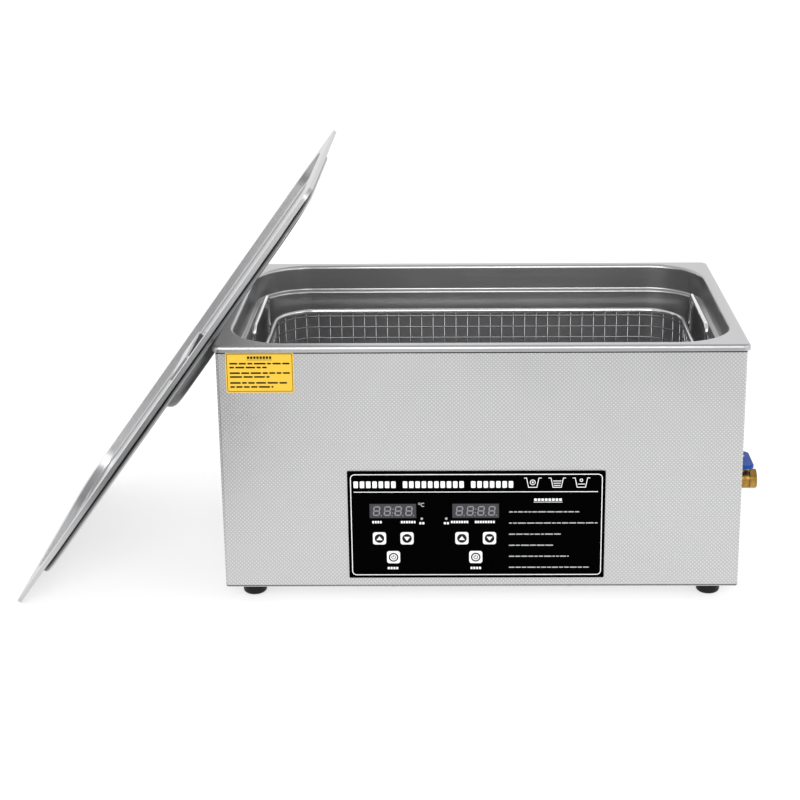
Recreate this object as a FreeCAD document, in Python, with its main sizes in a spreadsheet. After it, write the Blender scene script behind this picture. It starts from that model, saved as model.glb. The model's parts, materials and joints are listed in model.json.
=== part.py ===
"""A benchtop ultrasonic cleaner: a Gastronorm 1/1 tank in a sheet steel cabinet, with its wire basket, its
lid leaning on the left of the rim, a control panel at the front and a drain valve at the right.

Millimetres. The origin is the middle of the cabinet's footprint on the surface that it stands on,
+X runs to the right along the control panel, +Y to the back and +Z up.
"""

import FreeCAD, Part
import math
import os
import re
import Sketcher

from FreeCAD import Placement, Rotation, Vector

SIZES = {
    # the tank: a Gastronorm 1/1 pan, 150 deep
    "rim_length": 530,
    "rim_width": 325,
    "rim_top": 278,
    "rim_band": 6.5,
    "rim_corner": 8,
    "rim_roll": 3.5,
    "tank_sheet": 1.2,
    "mouth_length": 504,
    "mouth_width": 299,
    "mouth_corner": 58,
    "tank_step_depth": 29,
    "tank_step_inset": 5,
    "tank_step_roll": 2,
    "tank_depth": 150,
    "tank_floor_radius": 14,
    # the cabinet
    "cabinet_length": 524,
    "cabinet_width": 318,
    "cabinet_corner": 3,
    "cabinet_low": 18.6,
    "casing_sheet": 1.2,
    "gasket_thick": 1,
    "gasket_inset": 1.2,
    "top_lip": 7.5,
    "bottom_lip": 13,
    "vent_long": 34,
    "vent_wide": 4,
    "vent_pitch": 10,
    "floor_plate_gap": 0.5,
    "floor_vent_x": 150,
    "floor_vent_y": 50,
    "floor_screw_end_y": 60,
    "floor_screw_side_x": 90,
    "screw_radius": 1.95,
    "screw_hole_radius": 2,
    "screw_head_radius": 3.8,
    "screw_head_high": 2.2,
    "screw_long": 8,
    # the feet
    "foot_spacing_x": 472,
    "foot_spacing_y": 257,
    "foot_top_radius": 13,
    "foot_low_radius": 12,
    "foot_round": 3.5,
    "foot_bore_radius": 2.6,
    "foot_counterbore_radius": 5.2,
    "foot_counterbore_deep": 10,
    "foot_screw_radius": 2.5,
    "foot_screw_head_radius": 4.8,
    "foot_screw_head_high": 3.2,
    "foot_screw_long": 14,
    # the carrying handles on the two ends
    "handle_plate_long": 128,
    "handle_plate_high": 30,
    "handle_plate_thick": 1.5,
    "handle_pivot_high": 172,
    "handle_half_span": 46,
    "handle_drop": 38,
    "handle_rod": 3.5,
    "handle_bend": 9,
    "handle_stand_off": 5.5,
    "handle_pin_radius": 2.5,
    "handle_end_play": 0.5,
    "bracket_wide": 8,
    "bracket_high": 12,
    "handle_screw_y": 60,
    "handle_screw_rise": 10,
    # the drain, from the tank floor to the valve at the right
    "drain_x": 205,
    "drain_high": 72.5,
    "spud_radius": 13,
    "spud_bore": 7.5,
    "spud_flange_radius": 19,
    "spud_flange_thick": 1.5,
    "spud_low": 108,
    "spud_clearance": 0.2,
    "locknut_clearance": 0.1,
    "locknut_flats": 34,
    "locknut_thick": 8,
    "pipe_radius": 10,
    "pipe_bore": 6.5,
    "pipe_bend": 25,
    "valve_start": 252,
    "valve_neck_radius": 8.5,
    "valve_neck_end": 266,
    "valve_barrel_radius": 10.4,
    "valve_barrel_end": 295.5,
    "valve_groove": 1.3,
    "valve_hex_flats": 20,
    "valve_hex_long": 7.5,
    "valve_hex_chamfer": 1,
    "valve_passage": 5,
    "valve_thread_radius": 7.5,
    "valve_stem_x": 286,
    "valve_cavity_radius": 8,
    "valve_cavity_half": 8,
    "seat_thick": 3,
    "ball_radius": 7,
    "running_gap": 0.05,
    "stem_radius": 3,
    "stem_low": 79.6,
    "stem_top": 100.2,
    "tang_wide": 2.8,
    "tang_long": 5,
    "tang_deep": 1.6,
    "tang_play": 0.2,
    "boss_radius": 6,
    "boss_top": 88,
    "packing_nut_flats": 11,
    "packing_nut_high": 3.5,
    "lever_low": 92.4,
    "lever_thick": 4,
    "lever_long": 46,
    "lever_wide": 25,
    "lever_corner": 7,
    "lever_edge": 1.2,
    "lever_nut_flats": 8,
    "lever_nut_high": 3.4,
    # the transducers under the tank floor, two rows of four
    "transducer_first_x": -165,
    "transducer_pitch_x": 95,
    "transducer_pitch_y": 124,
    "front_mass_radius": 29,
    "stack_radius": 22,
    "front_mass_high": 24,
    "piezo_thick": 5,
    "piezo_hole_radius": 7,
    "electrode_gap": 0.5,
    "back_mass_high": 20,
    "stack_bolt_radius": 5,
    "stack_bolt_grip": 14,
    "stack_bolt_head_radius": 8,
    "stack_bolt_head_high": 8,
    # heating
    "heater_long": 320,
    "heater_high": 62,
    "heater_thick": 2,
    "heater_low": 150,
    "cutout_radius": 8,
    "cutout_high": 6,
    "cutout_y": -70,
    "probe_radius": 3,
    "probe_long": 26,
    # the generator board in the floor of the cabinet
    "board_x": -95,
    "board_long": 250,
    "board_wide": 96,
    "board_thick": 1.6,
    "board_rise": 10,
    "board_post_radius": 3.5,
    "board_post_spacing_x": 236,
    "board_post_spacing_y": 82,
    "heatsink_x": -60,
    "heatsink_y": 24,
    "heatsink_long": 90,
    "heatsink_high": 24,
    "heatsink_plate_thick": 6,
    "heatsink_fin_deep": 20,
    "heatsink_fin_pitch": 8,
    "heatsink_fin_thick": 2,
    "transformer_x": 30,
    "transformer_y": 18,
    "transformer_long": 34,
    "transformer_wide": 30,
    "transformer_high": 26,
    "winding_radius": 12,
    "winding_long": 20,
    "capacitor_radius": 8,
    "capacitor_high": 22,
    "capacitor_x": 80,
    "capacitor_pitch": 22,
    # the control panel
    "panel_x": -5,
    "panel_high": 87.2,
    "panel_long": 259.8,
    "panel_tall": 116.4,
    "panel_corner": 1.2,
    "panel_thick": 1.2,
    "panel_cutout_long": 138,
    "panel_cutout_high": 74,
    "panel_cutout_x": -48.2,
    "panel_cutout_middle": 78,
    "display_long": 47,
    "display_tall": 15.4,
    "display_deep": 11.4,
    "display_recess": 0.3,
    "display_gap": 0.25,
    "left_group_x": -89.4,
    "right_group_x": -5.7,
    "display_high": 102.5,
    "arrow_key_spread": 14,
    "arrow_key_high": 72.8,
    "start_key_high": 52,
    "key_size": 13.2,
    "key_corner": 2.4,
    "key_gap": 0.25,
    "key_proud": 0.5,
    "key_travel": 0.5,
    "key_flange": 1.2,
    "key_flange_rim": 1.2,
    "key_flange_gap": 0.4,
    "key_stem_size": 5,
    "key_stem_corner": 2.4,
    "key_stem_long": 4.4,
    "switch_size": 6,
    "switch_deep": 4,
    "control_board_deep": 10.6,
    "control_board_long": 150,
    "control_board_tall": 88,
    "control_post_radius": 3,
    "control_post_spacing_x": 142,
    "control_post_spacing_z": 78,
    "led_radius": 1.5,
    "led_x": -47.8,
    "led_spread": 12.4,
    "led_high": 94.2,
    # the back: fan, mains inlet, power switch
    "fan_x": -120,
    "fan_middle": 75,
    "fan_size": 80,
    "fan_deep": 25,
    "fan_bore": 38,
    "fan_screw_spacing": 71.5,
    "fan_screw_hole": 2.15,
    "fan_hub_radius": 16,
    "fan_hub_deep": 17,
    "fan_hub_gap": 1,
    "fan_motor_radius": 14,
    "fan_motor_deep": 4,
    "fan_strut": 4,
    "fan_strut_long": 78,
    "fan_spindle_radius": 2,
    "fan_spindle_long": 17,
    "fan_blade_root": 15.25,
    "fan_blade_tip": 35.15,
    "fan_blade_chord": 19,
    "fan_blade_thick": 1.6,
    "fan_blade_pitch": 38,
    "guard_wire": 1.1,
    "guard_stand_off": 3.2,
    "guard_reach": 45,
    "guard_ring_pitch": 9,
    "wall_cutout_play": 0.2,
    "inlet_x": 150,
    "inlet_middle": 75,
    "inlet_flange_long": 50,
    "inlet_flange_tall": 24,
    "inlet_flange_thick": 3,
    "inlet_body_long": 28,
    "inlet_body_tall": 20,
    "inlet_body_deep": 22,
    "inlet_recess_long": 24.4,
    "inlet_recess_tall": 16.4,
    "inlet_recess_deep": 16,
    "inlet_pin_long": 4,
    "inlet_pin_wide": 2,
    "inlet_pin_spread": 7,
    "inlet_pin_rise": 2,
    "inlet_pin_end": 5,
    "rocker_x": 95,
    "bezel_long": 18,
    "bezel_tall": 28,
    "bezel_thick": 2.5,
    "bezel_body_long": 15.4,
    "bezel_body_tall": 24,
    "bezel_body_deep": 18,
    "rocker_wide": 12.6,
    "rocker_window_tall": 21.6,
    "rocker_window_long": 13.4,
    "rocker_pivot_deep": 5.2,
    "rocker_half_tall": 9.5,
    "rocker_crest": 6.5,
    "rocker_valley": 4,
    "rocker_back": 3,
    "rocker_swing": 18,
    "rear_vent_x": 30,
    "rear_vent_low": 48,
    # labels
    "caution_x": -218.5,
    "caution_high": 249.9,
    "caution_long": 67.4,
    "caution_tall": 41.6,
    "label_thick": 0.3,
    "label_corner": 1.5,
    "rating_x": 140,
    "rating_high": 165,
    "rating_long": 70,
    "rating_tall": 42,
    # the basket
    "basket_half_x": 230,
    "basket_half_y": 127,
    "basket_corner": 45,
    "basket_top": 230,
    "basket_floor": 158,
    "basket_wire": 2,
    "floor_wire": 3,
    "frame_wire": 2.5,
    "basket_windows_x": 28,
    "basket_windows_y": 12,
    "basket_windows_up": 5,
    "floor_windows_x": 16,
    "floor_windows_y": 8,
    "floor_mesh_long": 416,
    "floor_mesh_wide": 208,
    "basket_handle_x": 235,
    "basket_handle_high": 267,
    "basket_handle_half": 62,
    "basket_handle_bend": 8,
    "basket_handle_wire": 2.5,
    "basket_handle_low": 224,
    "basket_foot_x": 150,
    "basket_foot_y": 80,
    "basket_foot_half": 14,
    "basket_foot_bend": 5,
    # the lid, leaning on the left of the rim
    "lid_long": 536,
    "lid_wide": 331,
    "lid_corner": 12,
    "lid_sheet": 1,
    "lid_skirt": 4,
    "plug_long": 500,
    "plug_wide": 295,
    "plug_corner": 56,
    "plug_deep": 11,
    "pocket_long": 114,
    "pocket_wide": 86,
    "pocket_corner": 40,
    "pocket_deep": 25.5,
    "plug_fillet": 2.5,
    "pocket_fillet": 9,
    "lid_lean": 54,
    "lid_rest_gap": 0.2,
    "lid_handle_wide": 30,
    "lid_handle_long": 118,
    "lid_handle_rise": 8,
    "lid_handle_thick": 2,
    "lid_handle_foot": 14,
}

doc = FreeCAD.newDocument("ultrasonic_cleaner")
sheet = doc.addObject("Spreadsheet::Sheet", "Sizes")
for row, (alias, number) in enumerate(SIZES.items(), start=1):
    sheet.set(f"A{row}", alias)
    sheet.set(f"B{row}", str(number))
    sheet.setAlias(f"B{row}", alias)
doc.recompute()

TURNS = {
    "+Z": Rotation(),
    "-Z": Rotation(Vector(1, 0, 0), 180),
    "+X": Rotation(Vector(0, 1, 0), 90),
    "-X": Rotation(Vector(0, 1, 0), -90),
    "+Y": Rotation(Vector(1, 0, 0), -90),
    "-Y": Rotation(Vector(1, 0, 0), 90),
}
FRONT = Rotation(Vector(1, 0, 0), 90)
BACK = Rotation(Vector(0, 0, 1), Vector(0, 1, 0)) * Rotation(Vector(0, 0, 1), 180)
FRONT_Y = "-cabinet_width / 2"
BACK_Y = "cabinet_width / 2"
TANK_FLOOR = "rim_top - tank_depth"
TANK_UNDERSIDE = "rim_top - tank_depth - tank_sheet"
CASING_LOW = "cabinet_low + casing_sheet"
CASING_TOP = "rim_top - tank_sheet - gasket_thick"
TOP_OPENING = ("cabinet_length - 2 * top_lip", "cabinet_width - 2 * top_lip", "cabinet_corner")
KEYS = {
    "temperature_up_key": ("left_group_x - arrow_key_spread", "arrow_key_high"),
    "temperature_down_key": ("left_group_x + arrow_key_spread", "arrow_key_high"),
    "heater_key": ("left_group_x", "start_key_high"),
    "time_up_key": ("right_group_x - arrow_key_spread", "arrow_key_high"),
    "time_down_key": ("right_group_x + arrow_key_spread", "arrow_key_high"),
    "timer_key": ("right_group_x", "start_key_high"),
}
REAR_VENTS = 7
FLOOR_VENTS = 12
TRANSDUCER_COLUMNS = 4
HEATSINK_FINS = 11
FAN_BLADES = 7
GUARD_RINGS = 4
CORNER_UPRIGHTS = 3
subparts = []


def value(text):
    """The number that an expression of the sheet's names comes to."""
    return float(sheet.evalExpression(str(text)))


def sized(text):
    """The expression with each of the sheet's names made a reference to its cell."""
    return re.sub(r"[a-z]\w*", lambda word: f"Sizes.{word[0]}" if word[0] in SIZES else word[0], str(text))


def bind(item, **expressions):
    for name, text in expressions.items():
        item.setExpression(name, sized(text))
    return item


def place(item, base, turn=Rotation()):
    item.Placement = Placement(Vector(), turn)
    for letter, text in zip("xyz", base):
        item.setExpression(f"Placement.Base.{letter}", sized(text))
    return item


def keep(item, label):
    """Names a finished sub-part and lists it for writing."""
    item.Label = label
    subparts.append(item)
    return item


# Part primitives and booleans


def block(size, middle, turn=Rotation()):
    """A box from its three lengths and its middle, turned about its middle."""
    solid = bind(doc.addObject("Part::Box", "Block"), Length=size[0], Width=size[1], Height=size[2])
    if turn.Angle == 0:
        return place(solid, [f"({m}) - ({s}) / 2" for m, s in zip(middle, size)])
    half = turn.multVec(Vector(*[value(s) / 2 for s in size]))
    return place(solid, [f"({m}) - ({offset})" for m, offset in zip(middle, half)], turn)


def rod(radius, length, start, along="+Z"):
    solid = bind(doc.addObject("Part::Cylinder", "Rod"), Radius=radius, Height=length)
    return place(solid, start, TURNS[along])


def cone(low_radius, high_radius, height, start, along="+Z"):
    solid = doc.addObject("Part::Cone", "Cone")
    bind(solid, Radius1=low_radius, Radius2=high_radius, Height=height)
    return place(solid, start, TURNS[along])


def ball(radius, middle):
    return place(bind(doc.addObject("Part::Sphere", "Ball"), Radius=radius), middle)


def hexagon(flats, length, start, along="+Z"):
    """A hexagonal prism from its width across flats."""
    solid = doc.addObject("Part::Prism", "Hexagon")
    solid.Polygon = 6
    bind(solid, Circumradius=f"({flats}) / sqrt(3)", Height=length)
    return place(solid, start, TURNS[along])


def bend(bend_radius, tube_radius, middle, first, second):
    """A quarter of a torus about middle, from the direction first to the direction second."""
    torus = bind(doc.addObject("Part::Torus", "Bend"), Radius1=bend_radius, Radius2=tube_radius)
    torus.Angle3 = 90
    turn = Rotation(Vector(*first), Vector(*second), Vector(*first).cross(Vector(*second)), "XYZ")
    return place(torus, middle, turn)


def fused(*pieces):
    joined = doc.addObject("Part::MultiFuse", "Fused")
    joined.Shapes = list(pieces)
    return joined


def cut(base, *tools):
    result = doc.addObject("Part::Cut", "Cut")
    result.Base = base
    result.Tool = tools[0] if len(tools) == 1 else fused(*tools)
    return result


def group(*pieces):
    """Identical or welded pieces that stay separate solids of one sub-part."""
    together = doc.addObject("Part::Compound", "Group")
    together.Links = list(pieces)
    return together


def copy_at(source, base):
    """The same piece at another place."""
    link = doc.addObject("App::Link", "Copy")
    link.LinkedObject = source
    link.LinkTransform = True
    return place(link, base)


# PartDesign bodies made of rounded rectangles


def new_body(name):
    return doc.addObject("PartDesign::Body", name)


def plan_sketch(body, height, x="0", y="0"):
    """A sketch parallel to the body's own XY plane, at a height and about a point."""
    sketch = body.newObject("Sketcher::SketchObject", "Outline")
    plane = next(item for item in body.Origin.OriginFeatures if item.Role == "XY_Plane")
    sketch.AttachmentSupport = [(plane, "")]
    sketch.MapMode = "FlatFace"
    for letter, text in zip("xyz", (x, y, height)):
        sketch.setExpression(f"AttachmentOffset.Base.{letter}", sized(text))
    return sketch


def draw_rounded_rectangle(sketch, length, width, corner):
    """Four arcs and the lines between them, symmetric about the sketch's origin and sized by the sheet."""
    radius = value(corner)
    middle_x = value(length) / 2 - radius
    middle_y = value(width) / 2 - radius
    arcs = []
    for quarter, (side_x, side_y) in enumerate(((1, 1), (-1, 1), (-1, -1), (1, -1))):
        circle = Part.Circle(Vector(side_x * middle_x, side_y * middle_y), Vector(0, 0, 1), radius)
        start = quarter * math.pi / 2
        arcs.append(sketch.addGeometry(Part.ArcOfCircle(circle, start, start + math.pi / 2)))
    ends = [sketch.getPoint(arc, 2) for arc in arcs]
    starts = [sketch.getPoint(arc, 1) for arc in arcs[1:] + arcs[:1]]
    lines = [sketch.addGeometry(Part.LineSegment(a, b)) for a, b in zip(ends, starts)]
    rules = []
    for line, arc, following in zip(lines, arcs, arcs[1:] + arcs[:1]):
        rules.append(Sketcher.Constraint("Tangent", arc, 2, line, 1))
        rules.append(Sketcher.Constraint("Tangent", line, 2, following, 1))
    top, left, bottom, right = lines
    rules += [Sketcher.Constraint("Horizontal", line) for line in (top, bottom)]
    rules += [Sketcher.Constraint("Vertical", line) for line in (left, right)]
    rules += [Sketcher.Constraint("Equal", arcs[0], arc) for arc in arcs[1:]]
    rules.append(Sketcher.Constraint("Symmetric", arcs[0], 3, arcs[2], 3, -1, 1))
    sketch.addConstraint(rules)
    sizes = (
        (Sketcher.Constraint("DistanceX", left, 1, right, 1, value(length)), "length", length),
        (Sketcher.Constraint("DistanceY", bottom, 1, top, 1, value(width)), "width", width),
        (Sketcher.Constraint("Radius", arcs[0], radius), "corner", corner),
    )
    for rule, name, text in sizes:
        index = sketch.addConstraint(rule)
        sketch.renameConstraint(index, name)
        sketch.setExpression(f"Constraints.{name}", sized(text))


def pad(body, outline, low, high, x="0", y="0"):
    """Adds a rounded rectangle (length, width, corner) between two heights."""
    sketch = plan_sketch(body, low, x, y)
    draw_rounded_rectangle(sketch, *outline)
    feature = body.newObject("PartDesign::Pad", "Pad")
    feature.Profile = sketch
    return bind(feature, Length=f"({high}) - ({low})")


def pocket(body, outline, low, high, x="0", y="0"):
    """Cuts a rounded rectangle (length, width, corner) away between two heights."""
    sketch = plan_sketch(body, high, x, y)
    draw_rounded_rectangle(sketch, *outline)
    feature = body.newObject("PartDesign::Pocket", "Pocket")
    feature.Profile = sketch
    return bind(feature, Length=f"({high}) - ({low})")


def grow(outline, amount):
    """The outline offset outwards by an amount."""
    length, width, corner = outline
    return f"({length}) + 2 * ({amount})", f"({width}) + 2 * ({amount})", f"({corner}) + ({amount})"


def fillet_loop(body, height, radius):
    """Rounds the edges of a body, as it is so far, that lie flat at one height."""
    doc.recompute()
    base = body.Tip
    level = value(height)
    names = [
        f"Edge{number}"
        for number, edge in enumerate(base.Shape.Edges, start=1)
        if abs(edge.BoundBox.ZMin - level) < 1e-4 and abs(edge.BoundBox.ZMax - level) < 1e-4
    ]
    feature = body.newObject("PartDesign::Fillet", "Fillet")
    feature.Base = (base, names)
    return bind(feature, Radius=radius)


def revolve(body, profile):
    """Adds a solid of revolution about the body's Z axis from (radius, height) expressions."""
    sketch = body.newObject("Sketcher::SketchObject", "Profile")
    plane = next(item for item in body.Origin.OriginFeatures if item.Role == "XZ_Plane")
    sketch.AttachmentSupport = [(plane, "")]
    sketch.MapMode = "FlatFace"
    points = [Vector(value(radius), value(height)) for radius, height in profile]
    lines = [sketch.addGeometry(Part.LineSegment(a, b)) for a, b in zip(points, points[1:] + points[:1])]
    for line, following in zip(lines, lines[1:] + lines[:1]):
        sketch.addConstraint(Sketcher.Constraint("Coincident", line, 2, following, 1))
    for line, (radius, height) in zip(lines, profile):
        for kind, text in (("DistanceX", radius), ("DistanceY", height)):
            rule = sketch.addConstraint(Sketcher.Constraint(kind, -1, 1, line, 1, value(text)))
            sketch.setExpression(f"Constraints[{rule}]", sized(text))
    feature = body.newObject("PartDesign::Revolution", "Revolution")
    feature.Profile = sketch
    feature.ReferenceAxis = (sketch, ["V_Axis"])
    feature.Angle = 360
    return feature


# Places that several pieces share


def corner_signs():
    return [(side_x, side_y) for side_x in (-1, 1) for side_y in (-1, 1)]


def foot_places():
    return [(f"{x} * foot_spacing_x / 2", f"{y} * foot_spacing_y / 2") for x, y in corner_signs()]


def floor_screw_places():
    """The screws that hold the bottom plate to the casing's lower lip."""
    inset_x = "(cabinet_length / 2 - casing_sheet - bottom_lip / 2)"
    inset_y = "(cabinet_width / 2 - casing_sheet - bottom_lip / 2)"
    ends = [(f"{x} * {inset_x}", f"{y} * floor_screw_end_y") for x, y in corner_signs()]
    sides = [(f"{x} * floor_screw_side_x", f"{y} * {inset_y}") for x, y in corner_signs()]
    return ends + sides


def handle_screw_places():
    return [
        (f"{y} * handle_screw_y", f"handle_pivot_high + {z} * handle_screw_rise")
        for y, z in corner_signs()
    ]


def fan_screw_places():
    half = "fan_screw_spacing / 2"
    return [(f"fan_x + {x} * {half}", f"fan_middle + {z} * {half}") for x, z in corner_signs()]


def transducer_places():
    return [
        (f"transducer_first_x + {column} * transducer_pitch_x", f"{side} * transducer_pitch_y / 2")
        for column in range(TRANSDUCER_COLUMNS)
        for side in (-1, 1)
    ]


def board_post_places():
    half_x, half_y = "board_post_spacing_x / 2", "board_post_spacing_y / 2"
    return [(f"board_x + {x} * {half_x}", f"{y} * {half_y}") for x, y in corner_signs()]


def control_post_places():
    half_x, half_z = "control_post_spacing_x / 2", "control_post_spacing_z / 2"
    return [
        (f"panel_cutout_x + {x} * {half_x}", f"panel_cutout_middle + {z} * {half_z}")
        for x, z in corner_signs()
    ]


# The cabinet and the tank


def make_tank():
    """One pressed pan: a rolled rim, a mouth, a step, the bath below it and a hole for the drain."""
    rim = ("rim_length", "rim_width", "rim_corner")
    mouth = ("mouth_length", "mouth_width", "mouth_corner")
    bath = grow(mouth, "-tank_step_inset")
    step = "rim_top - tank_step_depth"
    body = new_body("Tank")
    pad(body, rim, "rim_top - rim_band", "rim_top")
    pocket(body, grow(rim, "-tank_sheet"), "rim_top - rim_band", "rim_top - tank_sheet")
    pad(body, grow(mouth, "tank_sheet"), f"{step} - tank_sheet", "rim_top")
    pad(body, grow(bath, "tank_sheet"), TANK_UNDERSIDE, step)
    pocket(body, mouth, step, "rim_top")
    pocket(body, bath, TANK_FLOOR, step)
    fillet_loop(body, TANK_FLOOR, "tank_floor_radius")
    fillet_loop(body, TANK_UNDERSIDE, "tank_floor_radius + tank_sheet")
    fillet_loop(body, f"{step} - tank_sheet", "tank_step_roll")
    fillet_loop(body, step, "tank_step_roll")
    fillet_loop(body, "rim_top - tank_sheet", "rim_roll - tank_sheet")
    fillet_loop(body, "rim_top", "rim_roll")
    hole_low = ("drain_x", 0, f"{TANK_UNDERSIDE} - tank_sheet")
    hole = rod("spud_radius + spud_clearance", "3 * tank_sheet", hole_low)
    keep(cut(body, hole), "tank")


def make_rim_gasket():
    """A flat rubber ring between the casing's upper lip and the rim, inset from both edges of the lip."""
    body = new_body("RimGasket")
    outside = grow(("cabinet_length", "cabinet_width", "cabinet_corner"), "-gasket_inset")
    inside = grow(TOP_OPENING, "gasket_inset")
    pad(body, outside, CASING_TOP, f"{CASING_TOP} + gasket_thick")
    pocket(body, inside, CASING_TOP, f"{CASING_TOP} + gasket_thick")
    keep(body, "rim_gasket")


def make_outer_casing():
    """Four folded walls with a lip at the top for the rim and one at the bottom for the bottom plate."""
    cabinet = ("cabinet_length", "cabinet_width", "cabinet_corner")
    body = new_body("OuterCasing")
    pad(body, cabinet, CASING_LOW, CASING_TOP)
    inside = grow(cabinet, "-casing_sheet")
    pocket(body, inside, f"{CASING_LOW} + casing_sheet", f"{CASING_TOP} - casing_sheet")
    pocket(body, TOP_OPENING, f"{CASING_TOP} - casing_sheet", CASING_TOP)
    pocket(
        body,
        ("cabinet_length - 2 * bottom_lip", "cabinet_width - 2 * bottom_lip", "cabinet_corner"),
        CASING_LOW,
        f"{CASING_LOW} + casing_sheet",
    )
    wall = "3 * casing_sheet"
    front = (f"{FRONT_Y} + casing_sheet / 2", wall)
    back = (f"{BACK_Y} - casing_sheet / 2", wall)
    valve_hole = ("cabinet_length / 2 - 2 * casing_sheet", 0, "drain_high")
    openings = [
        block(
            ("panel_cutout_long", front[1], "panel_cutout_high"),
            ("panel_cutout_x", front[0], "panel_cutout_middle"),
        ),
        rod("valve_neck_radius + 2 * wall_cutout_play", wall, valve_hole, "+X"),
        rod("fan_bore", wall, ("fan_x", f"{BACK_Y} - 2 * casing_sheet", "fan_middle"), "+Y"),
        block(
            ("inlet_body_long + 2 * wall_cutout_play", back[1], "inlet_body_tall + 2 * wall_cutout_play"),
            ("inlet_x", back[0], "inlet_middle"),
        ),
        block(
            ("bezel_body_long + 2 * wall_cutout_play", back[1], "bezel_body_tall + 2 * wall_cutout_play"),
            ("rocker_x", back[0], "inlet_middle"),
        ),
    ]
    for number in range(REAR_VENTS):
        middle = ("rear_vent_x", back[0], f"rear_vent_low + {number} * vent_pitch")
        openings.append(block(("vent_long", back[1], "vent_wide"), middle))
    for x, z in fan_screw_places():
        openings.append(rod("screw_hole_radius", wall, (x, f"{BACK_Y} - 2 * casing_sheet", z), "+Y"))
    for x, y in floor_screw_places():
        openings.append(rod("screw_hole_radius", wall, (x, y, "cabinet_low")))
    for side, along in ((-1, "-X"), (1, "+X")):
        for y, z in handle_screw_places():
            start = f"{side} * (cabinet_length / 2 - 2 * casing_sheet)"
            openings.append(rod("screw_hole_radius", wall, (start, y, z), along))
    keep(cut(body, *openings), "outer_casing")


def make_bottom_plate():
    """A flat plate with vent slots, screwed up into the casing's lower lip."""
    body = new_body("BottomPlate")
    plate = grow(("cabinet_length", "cabinet_width", "cabinet_corner"), "-floor_plate_gap")
    pad(body, plate, "cabinet_low", CASING_LOW)
    deep = "3 * casing_sheet"
    below = "cabinet_low - casing_sheet"
    holes = [rod("screw_hole_radius", deep, (x, y, below)) for x, y in floor_screw_places()]
    holes += [rod("foot_bore_radius", deep, (x, y, below)) for x, y in foot_places()]
    for number in range(FLOOR_VENTS):
        for side in (-1, 1):
            offset = f"({number} - {(FLOOR_VENTS - 1) / 2}) * vent_pitch"
            middle = (f"floor_vent_x + {offset}", f"{side} * floor_vent_y", "cabinet_low")
            holes.append(block(("vent_wide", "vent_long", deep), middle))
    keep(cut(body, *holes), "bottom_plate")


def make_feet():
    """Four bowl-shaped rubber feet, counterbored from below for their screws."""
    bowl = new_body("Foot")
    low, high = ("foot_low_radius", "0"), ("foot_top_radius", "cabinet_low")
    revolve(bowl, (("0", "cabinet_low"), ("0", "0"), low, high))
    fillet_loop(bowl, "0", "foot_round")
    bore = rod("foot_bore_radius", "cabinet_low + 2", (0, 0, -1))
    counterbore = rod("foot_counterbore_radius", "foot_counterbore_deep + 1", (0, 0, -1))
    foot = cut(bowl, bore, counterbore)
    keep(group(*[copy_at(foot, (x, y, 0)) for x, y in foot_places()]), "rubber_feet")
    screws = []
    for x, y in foot_places():
        head_low = "foot_counterbore_deep - foot_screw_head_high"
        head = rod("foot_screw_head_radius", "foot_screw_head_high", (x, y, head_low))
        shank = rod("foot_screw_radius", "foot_screw_long", (x, y, "foot_counterbore_deep"))
        screws.append(fused(head, shank))
    keep(group(*screws), "foot_screws")


def make_panel_screws():
    """The M4 pan head screws of the bottom plate, the carrying handles and the fan."""
    screws = []

    def screw(seat, outward, inward):
        head = rod("screw_head_radius", "screw_head_high", seat, outward)
        screws.append(fused(head, rod("screw_radius", "screw_long", seat, inward)))

    for x, y in floor_screw_places():
        screw((x, y, "cabinet_low"), "-Z", "+Z")
    for y, z in handle_screw_places():
        screw(("-(cabinet_length / 2 + handle_plate_thick)", y, z), "-X", "+X")
        screw(("cabinet_length / 2 + handle_plate_thick", y, z), "+X", "-X")
    for x, z in fan_screw_places():
        screw((x, BACK_Y, z), "+Y", "-Y")
    keep(group(*screws), "panel_screws")


# The folding carrying handles


def make_side_handles():
    """On each end a plate with two brackets, and a bail that hangs from its pins in them."""
    plates = []
    for side, name in ((-1, "left"), (1, "right")):
        wall = f"{side} * cabinet_length / 2"
        pivot_x = f"{side} * (cabinet_length / 2 + handle_plate_thick + handle_stand_off)"
        plate_size = ("handle_plate_thick", "handle_plate_long", "handle_plate_high")
        plate = block(plate_size, (f"{wall} + {side} * handle_plate_thick / 2", 0, "handle_pivot_high"))
        brackets = []
        holes = []
        bracket_y = "(handle_half_span + handle_rod + handle_end_play + bracket_wide / 2)"
        for end in (-1, 1):
            reach = "(handle_stand_off + handle_rod)"
            middle = (
                f"{wall} + {side} * (handle_plate_thick + {reach} / 2)",
                f"{end} * {bracket_y}",
                "handle_pivot_high",
            )
            brackets.append(block((reach, "bracket_wide", "bracket_high"), middle))
            start = (pivot_x, f"{end} * {bracket_y} - bracket_wide", "handle_pivot_high")
            holes.append(rod("handle_pin_radius + running_gap", "2 * bracket_wide", start, "+Y"))
        for y, z in handle_screw_places():
            along = "+X" if side > 0 else "-X"
            start = (f"{wall} - {side} * handle_plate_thick", y, z)
            holes.append(rod("screw_hole_radius", "3 * handle_plate_thick", start, along))
        plates.append(cut(fused(plate, *brackets), *holes))
        keep(make_bail(pivot_x), f"{name}_handle_bail")
    keep(group(*plates), "side_handle_plates")


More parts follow.
